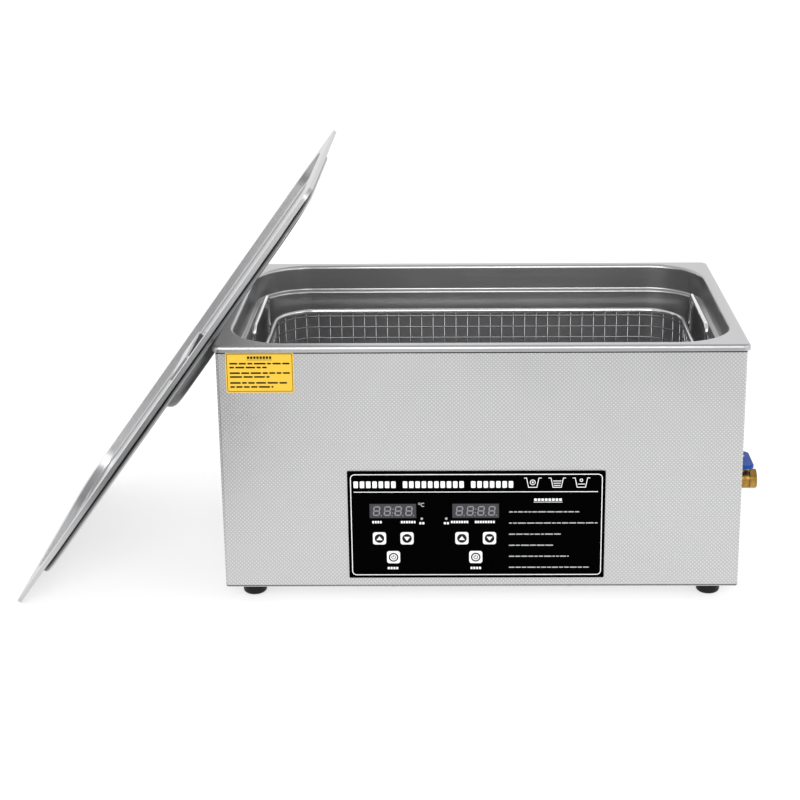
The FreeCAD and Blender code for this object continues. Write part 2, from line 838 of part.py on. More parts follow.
def make_bail(pivot_x):
    """A bent rod: a grip along Y, two legs up to the pivots and a thinner pin out of the top of each."""
    grip_high = "handle_pivot_high - handle_drop"
    pieces = [
        rod("handle_rod", "2 * (handle_half_span - handle_bend)",
            (pivot_x, "handle_bend - handle_half_span", grip_high), "+Y")
    ]
    for end, along in ((-1, "-Y"), (1, "+Y")):
        leg_y = f"{end} * handle_half_span"
        leg_low = (pivot_x, leg_y, f"{grip_high} + handle_bend")
        pieces.append(rod("handle_rod", "handle_drop - handle_bend", leg_low))
        pieces.append(ball("handle_rod", (pivot_x, leg_y, "handle_pivot_high")))
        middle = (pivot_x, f"{end} * (handle_half_span - handle_bend)", f"{grip_high} + handle_bend")
        pieces.append(bend("handle_bend", "handle_rod", middle, (0, 0, -1), (0, end, 0)))
        pin_long = "handle_rod + handle_end_play + bracket_wide"
        pieces.append(rod("handle_pin_radius", pin_long, (pivot_x, leg_y, "handle_pivot_high"), along))
    return fused(*pieces)


# The drain


def make_drain_pipe():
    """From the tank floor: a spud with its locknut, then an elbow that leads to the valve."""
    spud = fused(
        rod("spud_flange_radius", "spud_flange_thick", ("drain_x", 0, TANK_FLOOR)),
        rod("spud_radius", f"{TANK_FLOOR} - spud_low", ("drain_x", 0, "spud_low")),
    )
    keep(cut(spud, rod("spud_bore", "tank_depth", ("drain_x", 0, "spud_low"))), "drain_spud")
    nut_low = f"{TANK_UNDERSIDE} - locknut_thick"
    nut = hexagon("locknut_flats", "locknut_thick", ("drain_x", 0, nut_low))
    nut_bore = rod("spud_radius + locknut_clearance", "locknut_thick", ("drain_x", 0, nut_low))
    keep(cut(nut, nut_bore), "drain_locknut")

    def run(radius):
        bend_middle = ("drain_x + pipe_bend", 0, "drain_high + pipe_bend")
        drop = "spud_low - drain_high - pipe_bend"
        level = "valve_start - drain_x - pipe_bend"
        return fused(
            rod(radius, drop, ("drain_x", 0, "drain_high + pipe_bend")),
            bend("pipe_bend", radius, bend_middle, (-1, 0, 0), (0, 0, -1)),
            rod(radius, level, ("drain_x + pipe_bend", 0, "drain_high"), "+X"),
        )

    keep(cut(run("pipe_radius"), run("pipe_bore")), "drain_elbow")


def make_valve():
    """A small ball valve, closed: body, outlet end, seats, ball, stem, packing nut, lever and its nut."""
    axis = (0, "drain_high")
    stem = ("valve_stem_x", 0)
    cavity_start = "valve_stem_x - valve_cavity_half"
    body = fused(
        rod("valve_neck_radius", "valve_neck_end - valve_start", ("valve_start", *axis), "+X"),
        rod("valve_barrel_radius", "valve_barrel_end - valve_neck_end", ("valve_neck_end", *axis), "+X"),
        rod("boss_radius", "boss_top - drain_high", (*stem, "drain_high")),
    )
    hollows = (
        rod("valve_passage", "valve_stem_x - valve_start", ("valve_start", *axis), "+X"),
        rod("valve_cavity_radius", f"valve_barrel_end - ({cavity_start})", (cavity_start, *axis), "+X"),
        rod("stem_radius + running_gap", "boss_top - drain_high", (*stem, "drain_high")),
    )
    keep(cut(body, *hollows), "valve_body")

    insert_start = "valve_stem_x + valve_cavity_half"
    hex_start = "valve_barrel_end + valve_groove"
    hex_blank = hexagon("valve_hex_flats", "valve_hex_long", (hex_start, *axis), "+X")
    chamfer = cone(
        "valve_hex_flats / sqrt(3) + valve_hex_long - valve_hex_chamfer",
        "valve_hex_flats / sqrt(3) - valve_hex_chamfer",
        "valve_hex_long",
        (hex_start, *axis),
        "+X",
    )
    chamfered = doc.addObject("Part::Common", "ChamferedHexagon")
    chamfered.Base = hex_blank
    chamfered.Tool = chamfer
    outlet = fused(
        rod("valve_cavity_radius", f"valve_barrel_end - ({insert_start})", (insert_start, *axis), "+X"),
        rod("valve_neck_radius", "valve_groove", ("valve_barrel_end", *axis), "+X"),
        chamfered,
    )
    bores = (
        rod("valve_passage", "tank_depth", (insert_start, *axis), "+X"),
        rod("valve_thread_radius", "tank_depth", (hex_start, *axis), "+X"),
    )
    keep(cut(outlet, *bores), "valve_outlet")

    seats = []
    for start in (cavity_start, f"{insert_start} - seat_thick"):
        ring = rod("valve_cavity_radius", "seat_thick", (start, *axis), "+X")
        passage = rod("valve_passage", "seat_thick", (start, *axis), "+X")
        seats.append(cut(ring, passage, ball("ball_radius + running_gap", (*stem, "drain_high"))))
    keep(group(*seats), "valve_seats")

    bore_start = ("valve_stem_x", "-2 * ball_radius", "drain_high")
    closed_bore = rod("valve_passage", "4 * ball_radius", bore_start, "+Y")
    slot_middle = (*stem, "stem_low + ball_radius - tang_deep")
    slot = block(("tang_wide + tang_play", "4 * ball_radius", "2 * ball_radius"), slot_middle)
    keep(cut(ball("ball_radius", (*stem, "drain_high")), closed_bore, slot), "valve_ball")
    tang = block(("tang_wide", "tang_long", "tang_deep"), (*stem, "stem_low - tang_deep / 2"))
    keep(fused(tang, rod("stem_radius", "stem_top - stem_low", (*stem, "stem_low"))), "valve_stem")

    nut = hexagon("packing_nut_flats", "packing_nut_high", (*stem, "boss_top"))
    nut_bore = rod("stem_radius + running_gap", "packing_nut_high", (*stem, "boss_top"))
    keep(cut(nut, nut_bore), "stem_packing_nut")

    lever = new_body("Lever")
    outline = ("lever_wide", "lever_long", "lever_corner")
    pad(lever, outline, 0, "lever_thick")
    fillet_loop(lever, "lever_thick", "lever_edge")
    place(lever, (*stem, "lever_low"))
    lever_bore = rod("stem_radius", "4 * lever_thick", (*stem, "lever_low - lever_thick"))
    keep(cut(lever, lever_bore), "valve_lever")
    lever_top = "lever_low + lever_thick"
    nut = hexagon("lever_nut_flats", "lever_nut_high", (*stem, lever_top))
    keep(cut(nut, rod("stem_radius", "lever_nut_high", (*stem, lever_top))), "lever_nut")


# Under the tank


def make_transducers():
    """Eight bolted stacks: a flared front mass on the tank, two piezo rings, a back mass and a bolt."""
    front_low = f"{TANK_UNDERSIDE} - front_mass_high"
    upper_ring_low = f"{front_low} - electrode_gap - piezo_thick"
    lower_ring_low = f"{upper_ring_low} - electrode_gap - piezo_thick"
    back_low = f"{lower_ring_low} - electrode_gap - back_mass_high"
    bolt_long = f"stack_bolt_grip + {front_low} - ({back_low})"
    origin = (0, 0)
    front = cut(
        cone("stack_radius", "front_mass_radius", "front_mass_high", (*origin, front_low)),
        rod("stack_bolt_radius", "stack_bolt_grip", (*origin, front_low)),
    )
    rings = [
        cut(
            rod("stack_radius", "piezo_thick", (*origin, low)),
            rod("piezo_hole_radius", "piezo_thick", (*origin, low)),
        )
        for low in (upper_ring_low, lower_ring_low)
    ]
    back = cut(
        rod("stack_radius", "back_mass_high", (*origin, back_low)),
        rod("stack_bolt_radius", "back_mass_high", (*origin, back_low)),
    )
    head_low = f"{back_low} - stack_bolt_head_high"
    bolt = fused(
        rod("stack_bolt_radius", bolt_long, (*origin, back_low)),
        rod("stack_bolt_head_radius", "stack_bolt_head_high", (*origin, head_low)),
    )
    nodes = {
        "transducer_front_masses": [front],
        "piezo_rings": rings,
        "transducer_back_masses": [back],
        "transducer_bolts": [bolt],
    }
    for label, pieces in nodes.items():
        copies = [copy_at(piece, (x, y, 0)) for piece in pieces for x, y in transducer_places()]
        keep(group(*copies), label)


def make_heating():
    """Heater mats on the bath's long walls, an overheat cut-out on its right end and a probe on its left."""
    wall_y = "mouth_width / 2 - tank_step_inset + tank_sheet"
    mats = []
    for side in (-1, 1):
        middle = (0, f"{side} * ({wall_y} + heater_thick / 2)", "heater_low + heater_high / 2")
        mats.append(block(("heater_long", "heater_thick", "heater_high"), middle))
    keep(group(*mats), "heater_mats")
    end_x = "mouth_length / 2 - tank_step_inset + tank_sheet"
    cutout = (end_x, "cutout_y", "heater_low + heater_high / 2")
    keep(rod("cutout_radius", "cutout_high", cutout, "+X"), "thermal_cutout")
    probe = (f"-({end_x} + probe_radius)", "-probe_long / 2", "heater_low + heater_high / 2")
    keep(rod("probe_radius", "probe_long", probe, "+Y"), "temperature_probe")


def make_generator():
    """The ultrasonic generator: a board on posts with a finned heat sink, a transformer and capacitors."""
    board_low = f"{CASING_LOW} + board_rise"
    board_top = f"{board_low} + board_thick"
    size = ("board_long", "board_wide", "board_thick")
    keep(block(size, ("board_x", 0, f"{board_low} + board_thick / 2")), "generator_board")

    sink_x = "board_x + heatsink_x"
    sink_z = f"{board_top} + heatsink_high / 2"
    plate_size = ("heatsink_long", "heatsink_plate_thick", "heatsink_high")
    plate = block(plate_size, (sink_x, "heatsink_y", sink_z))
    fin = ("heatsink_fin_thick", "heatsink_fin_deep", "heatsink_high")
    fin_y = "heatsink_y - (heatsink_plate_thick + heatsink_fin_deep) / 2"
    fins = [
        block(fin, (f"{sink_x} + {number - HEATSINK_FINS // 2} * heatsink_fin_pitch", fin_y, sink_z))
        for number in range(HEATSINK_FINS)
    ]
    keep(fused(plate, *fins), "heat_sink")
    core_x = "board_x + transformer_x"
    core_z = f"{board_top} + transformer_high / 2"
    core_size = ("transformer_long", "transformer_wide", "transformer_high")
    core = block(core_size, (core_x, "transformer_y", core_z))
    winding_start = "transformer_y - transformer_wide / 2 - winding_long"
    winding = rod("winding_radius", "winding_long", (core_x, winding_start, core_z), "+Y")
    keep(fused(core, winding), "output_transformer")
    capacitors = []
    for number in (-1, 0, 1):
        start = ("board_x + capacitor_x", f"{number} * capacitor_pitch", board_top)
        capacitors.append(rod("capacitor_radius", "capacitor_high", start))
    keep(group(*capacitors), "capacitors")


def make_posts():
    """The spacers under the generator board and those between the front wall and the control board."""
    posts = [rod("board_post_radius", "board_rise", (x, y, CASING_LOW)) for x, y in board_post_places()]
    inner_wall = f"{FRONT_Y} + casing_sheet"
    long = "control_board_deep - casing_sheet"
    posts += [rod("control_post_radius", long, (x, inner_wall, z), "+Y") for x, z in control_post_places()]
    keep(group(*posts), "board_spacers")


# The control panel


def panel_body(name, middle_x, middle_z, face_y):
    """A body that lies in the front wall: its own XY plane faces the viewer at face_y."""
    return place(new_body(name), (middle_x, face_y, middle_z), FRONT)


def make_control_panel():
    """The black fascia, with windows for the two displays and holes for the six keys."""
    body = panel_body("ControlPanel", "panel_x", "panel_high", FRONT_Y)
    pad(body, ("panel_long", "panel_tall", "panel_corner"), 0, "panel_thick")
    window = ("display_long + 2 * display_gap", "display_tall + 2 * display_gap", "display_gap")
    for group_x in ("left_group_x", "right_group_x"):
        pocket(body, window, 0, "panel_thick", f"{group_x} - panel_x", "display_high - panel_high")
    hole = grow(("key_size", "key_size", "key_corner"), "key_gap")
    for x, z in KEYS.values():
        pocket(body, hole, 0, "panel_thick", f"{x} - panel_x", f"{z} - panel_high")
    keep(body, "control_panel")


def make_keys():
    """Six square keys, each with a flange behind the fascia and a stem that stops short of its switch."""
    flange_front = "-key_flange_gap"
    flange_back = "-(key_flange_gap + key_flange)"
    for name, (x, z) in KEYS.items():
        body = panel_body(name.title().replace("_", ""), x, z, FRONT_Y)
        cap = ("key_size", "key_size", "key_corner")
        pad(body, cap, flange_front, "panel_thick + key_proud")
        pad(body, grow(cap, "key_flange_rim"), flange_back, flange_front)
        pad(
            body,
            ("key_stem_size", "key_stem_size", "key_stem_corner"),
            f"{flange_back} - key_stem_long",
            flange_back,
        )
        keep(body, name)


def make_control_board():
    """The board behind the fascia, with a switch behind each key, two display modules and two lamps."""
    board_face = f"{FRONT_Y} + control_board_deep"
    size = ("control_board_long", "board_thick", "control_board_tall")
    middle = ("panel_cutout_x", f"{board_face} + board_thick / 2", "panel_cutout_middle")
    keep(block(size, middle), "control_board")
    switches = []
    for x, z in KEYS.values():
        switch = ("switch_size", "switch_deep", "switch_size")
        switches.append(block(switch, (x, f"{board_face} - switch_deep / 2", z)))
    keep(group(*switches), "tact_switches")
    front = f"{FRONT_Y} - panel_thick + display_recess"
    displays = []
    for x in ("left_group_x", "right_group_x"):
        size = ("display_long", f"{board_face} - ({front})", "display_tall")
        displays.append(block(size, (x, f"({board_face} + {front}) / 2", "display_high")))
    keep(group(*displays), "display_modules")
    lamps = [
        rod("led_radius", "control_board_deep", (f"led_x + {side} * led_spread", FRONT_Y, "led_high"), "+Y")
        for side in (-1, 1)
    ]
    keep(group(*lamps), "status_lamps")


# The back of the cabinet


def make_fan():
    """An 80 mm fan: frame with a motor mount, rotor with seven blades, and a wire guard outside."""
    inside_y = f"{BACK_Y} - casing_sheet - fan_deep"
    middle = ("fan_x", f"{inside_y} + fan_deep / 2", "fan_middle")
    frame = block(("fan_size", "fan_deep", "fan_size"), middle)
    holes = [rod("fan_bore", "fan_deep", ("fan_x", inside_y, "fan_middle"), "+Y")]
    for x, z in fan_screw_places():
        holes.append(rod("fan_screw_hole", "fan_deep", (x, inside_y, z), "+Y"))
    strut_middle = ("fan_x", f"{inside_y} + fan_motor_deep / 2", "fan_middle")
    struts = [
        block(("fan_strut_long", "fan_motor_deep", "fan_strut"), strut_middle),
        block(("fan_strut", "fan_motor_deep", "fan_strut_long"), strut_middle),
        rod("fan_motor_radius", "fan_motor_deep", ("fan_x", inside_y, "fan_middle"), "+Y"),
        rod("fan_spindle_radius", "fan_spindle_long", ("fan_x", inside_y, "fan_middle"), "+Y"),
    ]
    keep(fused(cut(frame, *holes), *struts), "fan_frame")

    hub_y = f"{inside_y} + fan_motor_deep + fan_hub_gap"
    hub_start = ("fan_x", hub_y, "fan_middle")
    hub = rod("fan_hub_radius", "fan_hub_deep", hub_start, "+Y")
    blade_size = ("fan_blade_tip - fan_blade_root", "fan_blade_chord", "fan_blade_thick")
    reach = value("(fan_blade_root + fan_blade_tip) / 2")
    blades = []
    for number in range(FAN_BLADES):
        spin = Rotation(Vector(0, 1, 0), number * 360 / FAN_BLADES)
        turn = spin * Rotation(Vector(1, 0, 0), value("fan_blade_pitch"))
        offset = spin.multVec(Vector(reach, 0, 0))
        middle = (f"fan_x + ({offset.x})", f"{hub_y} + fan_hub_deep / 2", f"fan_middle + ({offset.z})")
        blades.append(block(blade_size, middle, turn))
    bore = rod("fan_spindle_radius + running_gap", "fan_spindle_long - fan_motor_deep", hub_start, "+Y")
    keep(cut(fused(hub, *blades), bore), "fan_rotor")

    guard_y = f"{BACK_Y} + guard_stand_off"
    guard = []
    for number in range(1, GUARD_RINGS + 1):
        ring = doc.addObject("Part::Torus", "GuardRing")
        bind(ring, Radius1=f"{number} * guard_ring_pitch", Radius2="guard_wire")
        guard.append(place(ring, ("fan_x", guard_y, "fan_middle"), TURNS["+Y"]))
    for spin in range(45, 360, 90):
        span = Vector(math.cos(math.radians(spin)), 0, math.sin(math.radians(spin)))
        wire = doc.addObject("Part::Cylinder", "GuardSpoke")
        bind(wire, Radius="guard_wire", Height="guard_reach")
        guard.append(place(wire, ("fan_x", guard_y, "fan_middle"), Rotation(Vector(0, 0, 1), span)))
        end = (f"fan_x + guard_reach * ({span.x})", BACK_Y, f"fan_middle + guard_reach * ({span.z})")
        guard.append(rod("guard_wire", "guard_stand_off", end, "+Y"))
        guard.append(ball("guard_wire", (end[0], guard_y, end[2])))
    keep(fused(*guard), "fan_guard")


def make_inlet():
    """The mains inlet: a flange outside, a body inside with the socket's recess, and three pins."""
    flange = block(
        ("inlet_flange_long", "inlet_flange_thick", "inlet_flange_tall"),
        ("inlet_x", f"{BACK_Y} + inlet_flange_thick / 2", "inlet_middle"),
    )
    face = f"{BACK_Y} + inlet_flange_thick"
    body = block(
        ("inlet_body_long", "inlet_body_deep", "inlet_body_tall"),
        ("inlet_x", f"{BACK_Y} - inlet_body_deep / 2", "inlet_middle"),
    )
    recess = block(
        ("inlet_recess_long", "inlet_recess_deep", "inlet_recess_tall"),
        ("inlet_x", f"{face} - inlet_recess_deep / 2", "inlet_middle"),
    )
    keep(cut(fused(flange, body), recess), "mains_inlet")
    pin_long = "inlet_recess_deep - inlet_pin_end"
    pins = []
    for spread, rise in ((-1, -1), (0, 1), (1, -1)):
        middle = (
            f"inlet_x + {spread} * inlet_pin_spread",
            f"{face} - inlet_recess_deep + {pin_long} / 2",
            f"inlet_middle + {rise} * inlet_pin_rise",
        )
        pins.append(block(("inlet_pin_wide", pin_long, "inlet_pin_long"), middle))
    keep(group(*pins), "inlet_pins")


def make_power_switch():
    """A rocker in a bezel, stored switched off: its lower half is pressed in."""
    face = f"{BACK_Y} + bezel_thick"
    shell = fused(
        block(
            ("bezel_long", "bezel_thick", "bezel_tall"),
            ("rocker_x", f"{BACK_Y} + bezel_thick / 2", "inlet_middle"),
        ),
        block(
            ("bezel_body_long", "bezel_body_deep", "bezel_body_tall"),
            ("rocker_x", f"{BACK_Y} - bezel_body_deep / 2", "inlet_middle"),
        ),
    )
    window = block(
        ("rocker_window_long", "bezel_body_deep", "rocker_window_tall"),
        ("rocker_x", f"{face} - bezel_body_deep / 2", "inlet_middle"),
    )
    keep(cut(shell, window), "switch_bezel")

    rocker = new_body("PowerRocker")
    sketch = rocker.newObject("Sketcher::SketchObject", "RockerProfile")
    plane = next(item for item in rocker.Origin.OriginFeatures if item.Role == "YZ_Plane")
    sketch.AttachmentSupport = [(plane, "")]
    sketch.MapMode = "FlatFace"
    profile = (
        ("-rocker_back", "-rocker_half_tall + rocker_back"),
        ("rocker_crest", "-rocker_half_tall"),
        ("rocker_valley", "0"),
        ("rocker_crest", "rocker_half_tall"),
        ("-rocker_back", "rocker_half_tall - rocker_back"),
    )
    points = [Vector(value(out), value(up)) for out, up in profile]
    lines = [sketch.addGeometry(Part.LineSegment(a, b)) for a, b in zip(points, points[1:] + points[:1])]
    for line, following in zip(lines, lines[1:] + lines[:1]):
        sketch.addConstraint(Sketcher.Constraint("Coincident", line, 2, following, 1))
    for line, (out, up) in zip(lines, profile):
        for kind, text in (("DistanceX", out), ("DistanceY", up)):
            rule = sketch.addConstraint(Sketcher.Constraint(kind, -1, 1, line, 1, value(text)))
            sketch.setExpression(f"Constraints[{rule}]", sized(text))
    width = rocker.newObject("PartDesign::Pad", "RockerWidth")
    width.Profile = sketch
    width.SideType = "Symmetric"
    bind(width, Length="rocker_wide")
    tilt = Rotation(Vector(1, 0, 0), -value("rocker_swing") / 2)
    place(rocker, ("rocker_x", f"{face} - rocker_pivot_deep", "inlet_middle"), tilt)
    keep(rocker, "power_rocker")


def make_labels():
    caution = panel_body("CautionLabel", "caution_x", "caution_high", FRONT_Y)
    pad(caution, ("caution_long", "caution_tall", "label_corner"), 0, "label_thick")
    keep(caution, "caution_label")
    rating = place(new_body("RatingPlate"), ("rating_x", BACK_Y, "rating_high"), BACK)
    pad(rating, ("rating_long", "rating_tall", "label_corner"), 0, "label_thick")
    keep(rating, "rating_plate")


# The basket


def wire_mesh(length, height, wire, columns, rows):
    """A flat mesh in the XZ plane about the origin: a plate with a window between each two wires."""
    def rectangle(low_x, low_z, high_x, high_z):
        corners = [(low_x, low_z), (high_x, low_z), (high_x, high_z), (low_x, high_z), (low_x, low_z)]
        return Part.makePolygon([Vector(x, -wire / 2, z) for x, z in corners])

    outer = rectangle(-length / 2, -height / 2, length / 2, height / 2)
    pitch_x = (length - wire) / columns
    pitch_z = (height - wire) / rows
    windows = []
    for column in range(columns):
        for level in range(rows):
            low_x = -length / 2 + wire + column * pitch_x
            low_z = -height / 2 + wire + level * pitch_z
            windows.append(rectangle(low_x, low_z, low_x + pitch_x - wire, low_z + pitch_z - wire))
    return Part.makeFace([outer, *windows], "Part::FaceMakerCheese").extrude(Vector(0, wire, 0))


def corner_mesh(radius, low, high, wire, rows):
    """A quarter turn of mesh about the Z axis: level hoops and a few upright wires."""
    def sector(from_angle, sweep, from_height, tall):
        where = (Vector(0, 0, from_height), Vector(0, 0, 1), sweep)
        outer = Part.makeCylinder(radius + wire / 2, tall, *where)
        inner = Part.makeCylinder(radius - wire / 2, tall, *where)
        piece = outer.cut(inner)
        piece.rotate(Vector(), Vector(0, 0, 1), from_angle)
        return piece

    pitch = (high - low - wire) / rows
    hoops = [sector(0, 90, low + level * pitch, wire) for level in range(rows + 1)]
    upright = math.degrees(wire / radius)
    spacing = 90 / (CORNER_UPRIGHTS + 1)
    posts = [
        sector(number * spacing - upright / 2, upright, low, high - low)
        for number in range(1, CORNER_UPRIGHTS + 1)
    ]
    return hoops[0].multiFuse(hoops[1:] + posts).removeSplitter()


def make_basket_mesh():
    """The walls, four flat meshes and four corner meshes, and the floor mesh."""
    half_x, half_y, corner = value("basket_half_x"), value("basket_half_y"), value("basket_corner")
    wire = value("basket_wire")
    low, high = value("basket_floor"), value("basket_top - frame_wire")
    rows = int(value("basket_windows_up"))
    long_mesh = wire_mesh(2 * (half_x - corner), high - low, wire, int(value("basket_windows_x")), rows)
    short_mesh = wire_mesh(2 * (half_y - corner), high - low, wire, int(value("basket_windows_y")), rows)
    bend_mesh = corner_mesh(corner, low, high, wire, rows)
    middle = (low + high) / 2
    walls = []
    for number in range(4):
        mesh, reach = ((long_mesh, half_y), (short_mesh, half_x))[number % 2]
        turn = Rotation(Vector(0, 0, 1), 90 * number)
        walls.append(mesh.copy())
        walls[-1].Placement = Placement(turn.multVec(Vector(0, reach, middle)), turn)
        side_x, side_y = ((1, 1), (-1, 1), (-1, -1), (1, -1))[number]
        walls.append(bend_mesh.copy())
        bend_middle = Vector(side_x * (half_x - corner), side_y * (half_y - corner))
        walls[-1].Placement = Placement(bend_middle, turn)
    basket_walls = doc.addObject("Part::Feature", "BasketWalls")
    basket_walls.Shape = Part.makeCompound(walls)
    keep(basket_walls, "basket_walls")

    outline = new_body("BasketFloorOutline")
    sizes = grow(("2 * basket_half_x", "2 * basket_half_y", "basket_corner"), "basket_wire / 2")
    pad(outline, sizes, "basket_floor - floor_wire", "basket_floor")
    doc.recompute()
    wire = value("floor_wire")
    mesh_long, mesh_wide = value("floor_mesh_long"), value("floor_mesh_wide")
    columns, rows = int(value("floor_windows_x")), int(value("floor_windows_y"))
    mesh = wire_mesh(mesh_long, mesh_wide, wire, columns, rows)
    blank = Part.makeBox(mesh_long, wire, mesh_wide, Vector(-mesh_long / 2, -wire / 2, -mesh_wide / 2))
    windows = blank.cut(mesh)
    windows.Placement = Placement(Vector(0, 0, low - wire / 2), Rotation(Vector(1, 0, 0), 90))
    floor = doc.addObject("Part::Feature", "BasketFloor")
    floor.Shape = outline.Shape.cut(windows)
    keep(floor, "basket_floor")


def make_basket_frame():
    """The heavy wire round the top of the basket."""
    straight_x = "2 * (basket_half_x - basket_corner)"
    straight_y = "2 * (basket_half_y - basket_corner)"
    pieces = []
    for side in (-1, 1):
        start_x = ("basket_corner - basket_half_x", f"{side} * basket_half_y", "basket_top")
        pieces.append(rod("frame_wire", straight_x, start_x, "+X"))
        start_y = (f"{side} * basket_half_x", "basket_corner - basket_half_y", "basket_top")
        pieces.append(rod("frame_wire", straight_y, start_y, "+Y"))
    for side_x, side_y in corner_signs():
        middle = (
            f"{side_x} * (basket_half_x - basket_corner)",
            f"{side_y} * (basket_half_y - basket_corner)",
            "basket_top",
        )
        pieces.append(bend("basket_corner", "frame_wire", middle, (side_x, 0, 0), (0, side_y, 0)))
    keep(fused(*pieces), "basket_frame")


def arch(wire, half, bend_radius, x, y, foot, crown, along):
    """A U of wire along Y or X: two legs from the height foot, and a bar at the height crown."""
    rises = value(crown) > value(foot)
    up = 1 if rises else -1
    direction = (0, 1, 0) if along == "+Y" else (1, 0, 0)
    turn_level = f"{crown} - {up} * ({bend_radius})"
    inner = f"({half} - {bend_radius})"

    def at(offset, level):
        return (x, f"({y}) + {offset}", level) if along == "+Y" else (f"({x}) + {offset}", y, level)

    pieces = [rod(wire, f"2 * {inner}", at(f"-1 * {inner}", crown), along)]
    for end in (-1, 1):
        low, high = (foot, turn_level) if rises else (turn_level, foot)
        pieces.append(rod(wire, f"({high}) - ({low})", at(f"{end} * ({half})", low)))
        outward = tuple(end * part for part in direction)
        pieces.append(bend(bend_radius, wire, at(f"{end} * {inner}", turn_level), (0, 0, up), outward))
    return fused(*pieces)


def make_basket_wirework():
    """The two lifting handles and the four wire feet."""
    handles = [
        arch(
            "basket_handle_wire",
            "basket_handle_half",
            "basket_handle_bend",
            f"{side} * basket_handle_x",
            "0",
            "basket_handle_low",
            "basket_handle_high",
            "+Y",
        )
        for side in (-1, 1)
    ]
    keep(group(*handles), "basket_handles")
    feet = [
        arch(
            "basket_wire",
            "basket_foot_half",
            "basket_foot_bend",
            f"{side_x} * basket_foot_x",
            f"{side_y} * basket_foot_y",
            "basket_floor - floor_wire",
            f"{TANK_FLOOR} + basket_wire",
            "+X",
        )
        for side_x, side_y in corner_signs()
    ]
    keep(group(*feet), "basket_feet")


# The lid


def lid_placement():
    """Its lower edge on the floor and the pressed plug just clear of the rim's left edge."""
    lean = math.radians(value("lid_lean"))
    base_z = value("lid_skirt") * math.cos(lean)
    up = (value("rim_top + lid_rest_gap") - base_z + value("plug_deep") * math.cos(lean)) / math.sin(lean)
    base_x = -value("rim_length") / 2 - up * math.cos(lean) - value("plug_deep") * math.sin(lean)
    print(f"lid lower edge at x {base_x:.3f}, z {base_z:.3f}")
    return Placement(Vector(base_x, 0, base_z), Rotation(Vector(0, 1, 0), -value("lid_lean")))


def make_lid():
    """A pressed pan lid: a skirted rim, a plug that fits the tank's mouth and a pocket for the handle."""
    rim = ("lid_long", "lid_wide", "lid_corner")
    plug = ("plug_long", "plug_wide", "plug_corner")
    hollow = ("pocket_long", "pocket_wide", "pocket_corner")
    middle = "lid_long / 2"
    body = new_body("LidPan")
    pad(body, rim, "-lid_skirt", 0, middle)
    pocket(body, grow(rim, "-lid_sheet"), "-lid_skirt", "-lid_sheet", middle)
    plug_floor = "lid_sheet - plug_deep"
    pad(body, plug, "-plug_deep", 0, middle)
    pocket(body, grow(plug, "-lid_sheet"), plug_floor, 0, middle)
    fillet_loop(body, plug_floor, "plug_fillet")
    fillet_loop(body, "-plug_deep", "plug_fillet + lid_sheet")
    pad(body, hollow, "-pocket_deep", plug_floor, middle)
    pocket(body, grow(hollow, "-lid_sheet"), "lid_sheet - pocket_deep", plug_floor, middle)
    fillet_loop(body, "lid_sheet - pocket_deep", "pocket_fillet")
    fillet_loop(body, "-pocket_deep", "pocket_fillet + lid_sheet")
    leaning = lid_placement()
    body.Placement = leaning
    keep(body, "lid_pan")

    bar_high = f"{plug_floor} + lid_handle_rise"
    bar = block(("lid_handle_wide", "lid_handle_long - 2 * lid_handle_foot", "lid_handle_thick"),
                (middle, 0, f"{bar_high} - lid_handle_thick / 2"))
    pieces = [bar]
    for side in (-1, 1):
        foot_middle = f"{side} * (lid_handle_long - lid_handle_foot) / 2"
        foot_size = ("lid_handle_wide", "lid_handle_foot", "lid_handle_thick")
        pieces.append(block(foot_size, (middle, foot_middle, f"{plug_floor} + lid_handle_thick / 2")))
        riser = f"{side} * (lid_handle_long / 2 - lid_handle_foot + lid_handle_thick / 2)"
        riser_size = ("lid_handle_wide", "lid_handle_thick", "lid_handle_rise")
        pieces.append(block(riser_size, (middle, riser, f"{plug_floor} + lid_handle_rise / 2")))
    strap = fused(*pieces)
    strap.Placement = leaning
    keep(strap, "lid_handle")


def check_document():
    """Stops on any object that failed and on any sub-part that isn't a valid solid."""
    failed = [item.Name for item in doc.Objects if {"Invalid", "Error"} & set(item.State)]
    if failed:
        raise RuntimeError(f"failed objects: {failed}")
    for item in subparts:
        shape = item.Shape
        if shape.isNull() or not shape.isValid() or not shape.Solids:
            raise RuntimeError(f"{item.Label} is not a valid solid")


make_tank()
make_rim_gasket()
make_outer_casing()
make_bottom_plate()
make_feet()
make_panel_screws()
make_side_handles()
make_drain_pipe()
make_valve()
make_transducers()
make_heating()
make_generator()
make_posts()
make_control_panel()
make_keys()
make_control_board()
make_fan()
make_inlet()
make_power_switch()
make_labels()
make_basket_mesh()
make_basket_frame()
make_basket_wirework()
make_lid()
doc.recompute()
check_document()

os.makedirs("parts", exist_ok=True)
for item in subparts:
    item.Shape.exportStep(f"parts/{item.Label}.step")
    print(f"{item.Label}: {len(item.Shape.Solids)} solids, {item.Shape.Volume / 1000:.2f} cm3")
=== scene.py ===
"""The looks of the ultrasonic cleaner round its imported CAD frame.

The CAD parts get their materials here, the basket's meshes become real wires, and the control panel, the keys
and the labels get their print. Metres, in the row's frame: +X to the right along the panel, +Y back, +Z up.
"""

import json
import math
import random
from types import SimpleNamespace

import bpy
from mathutils import Matrix, Vector

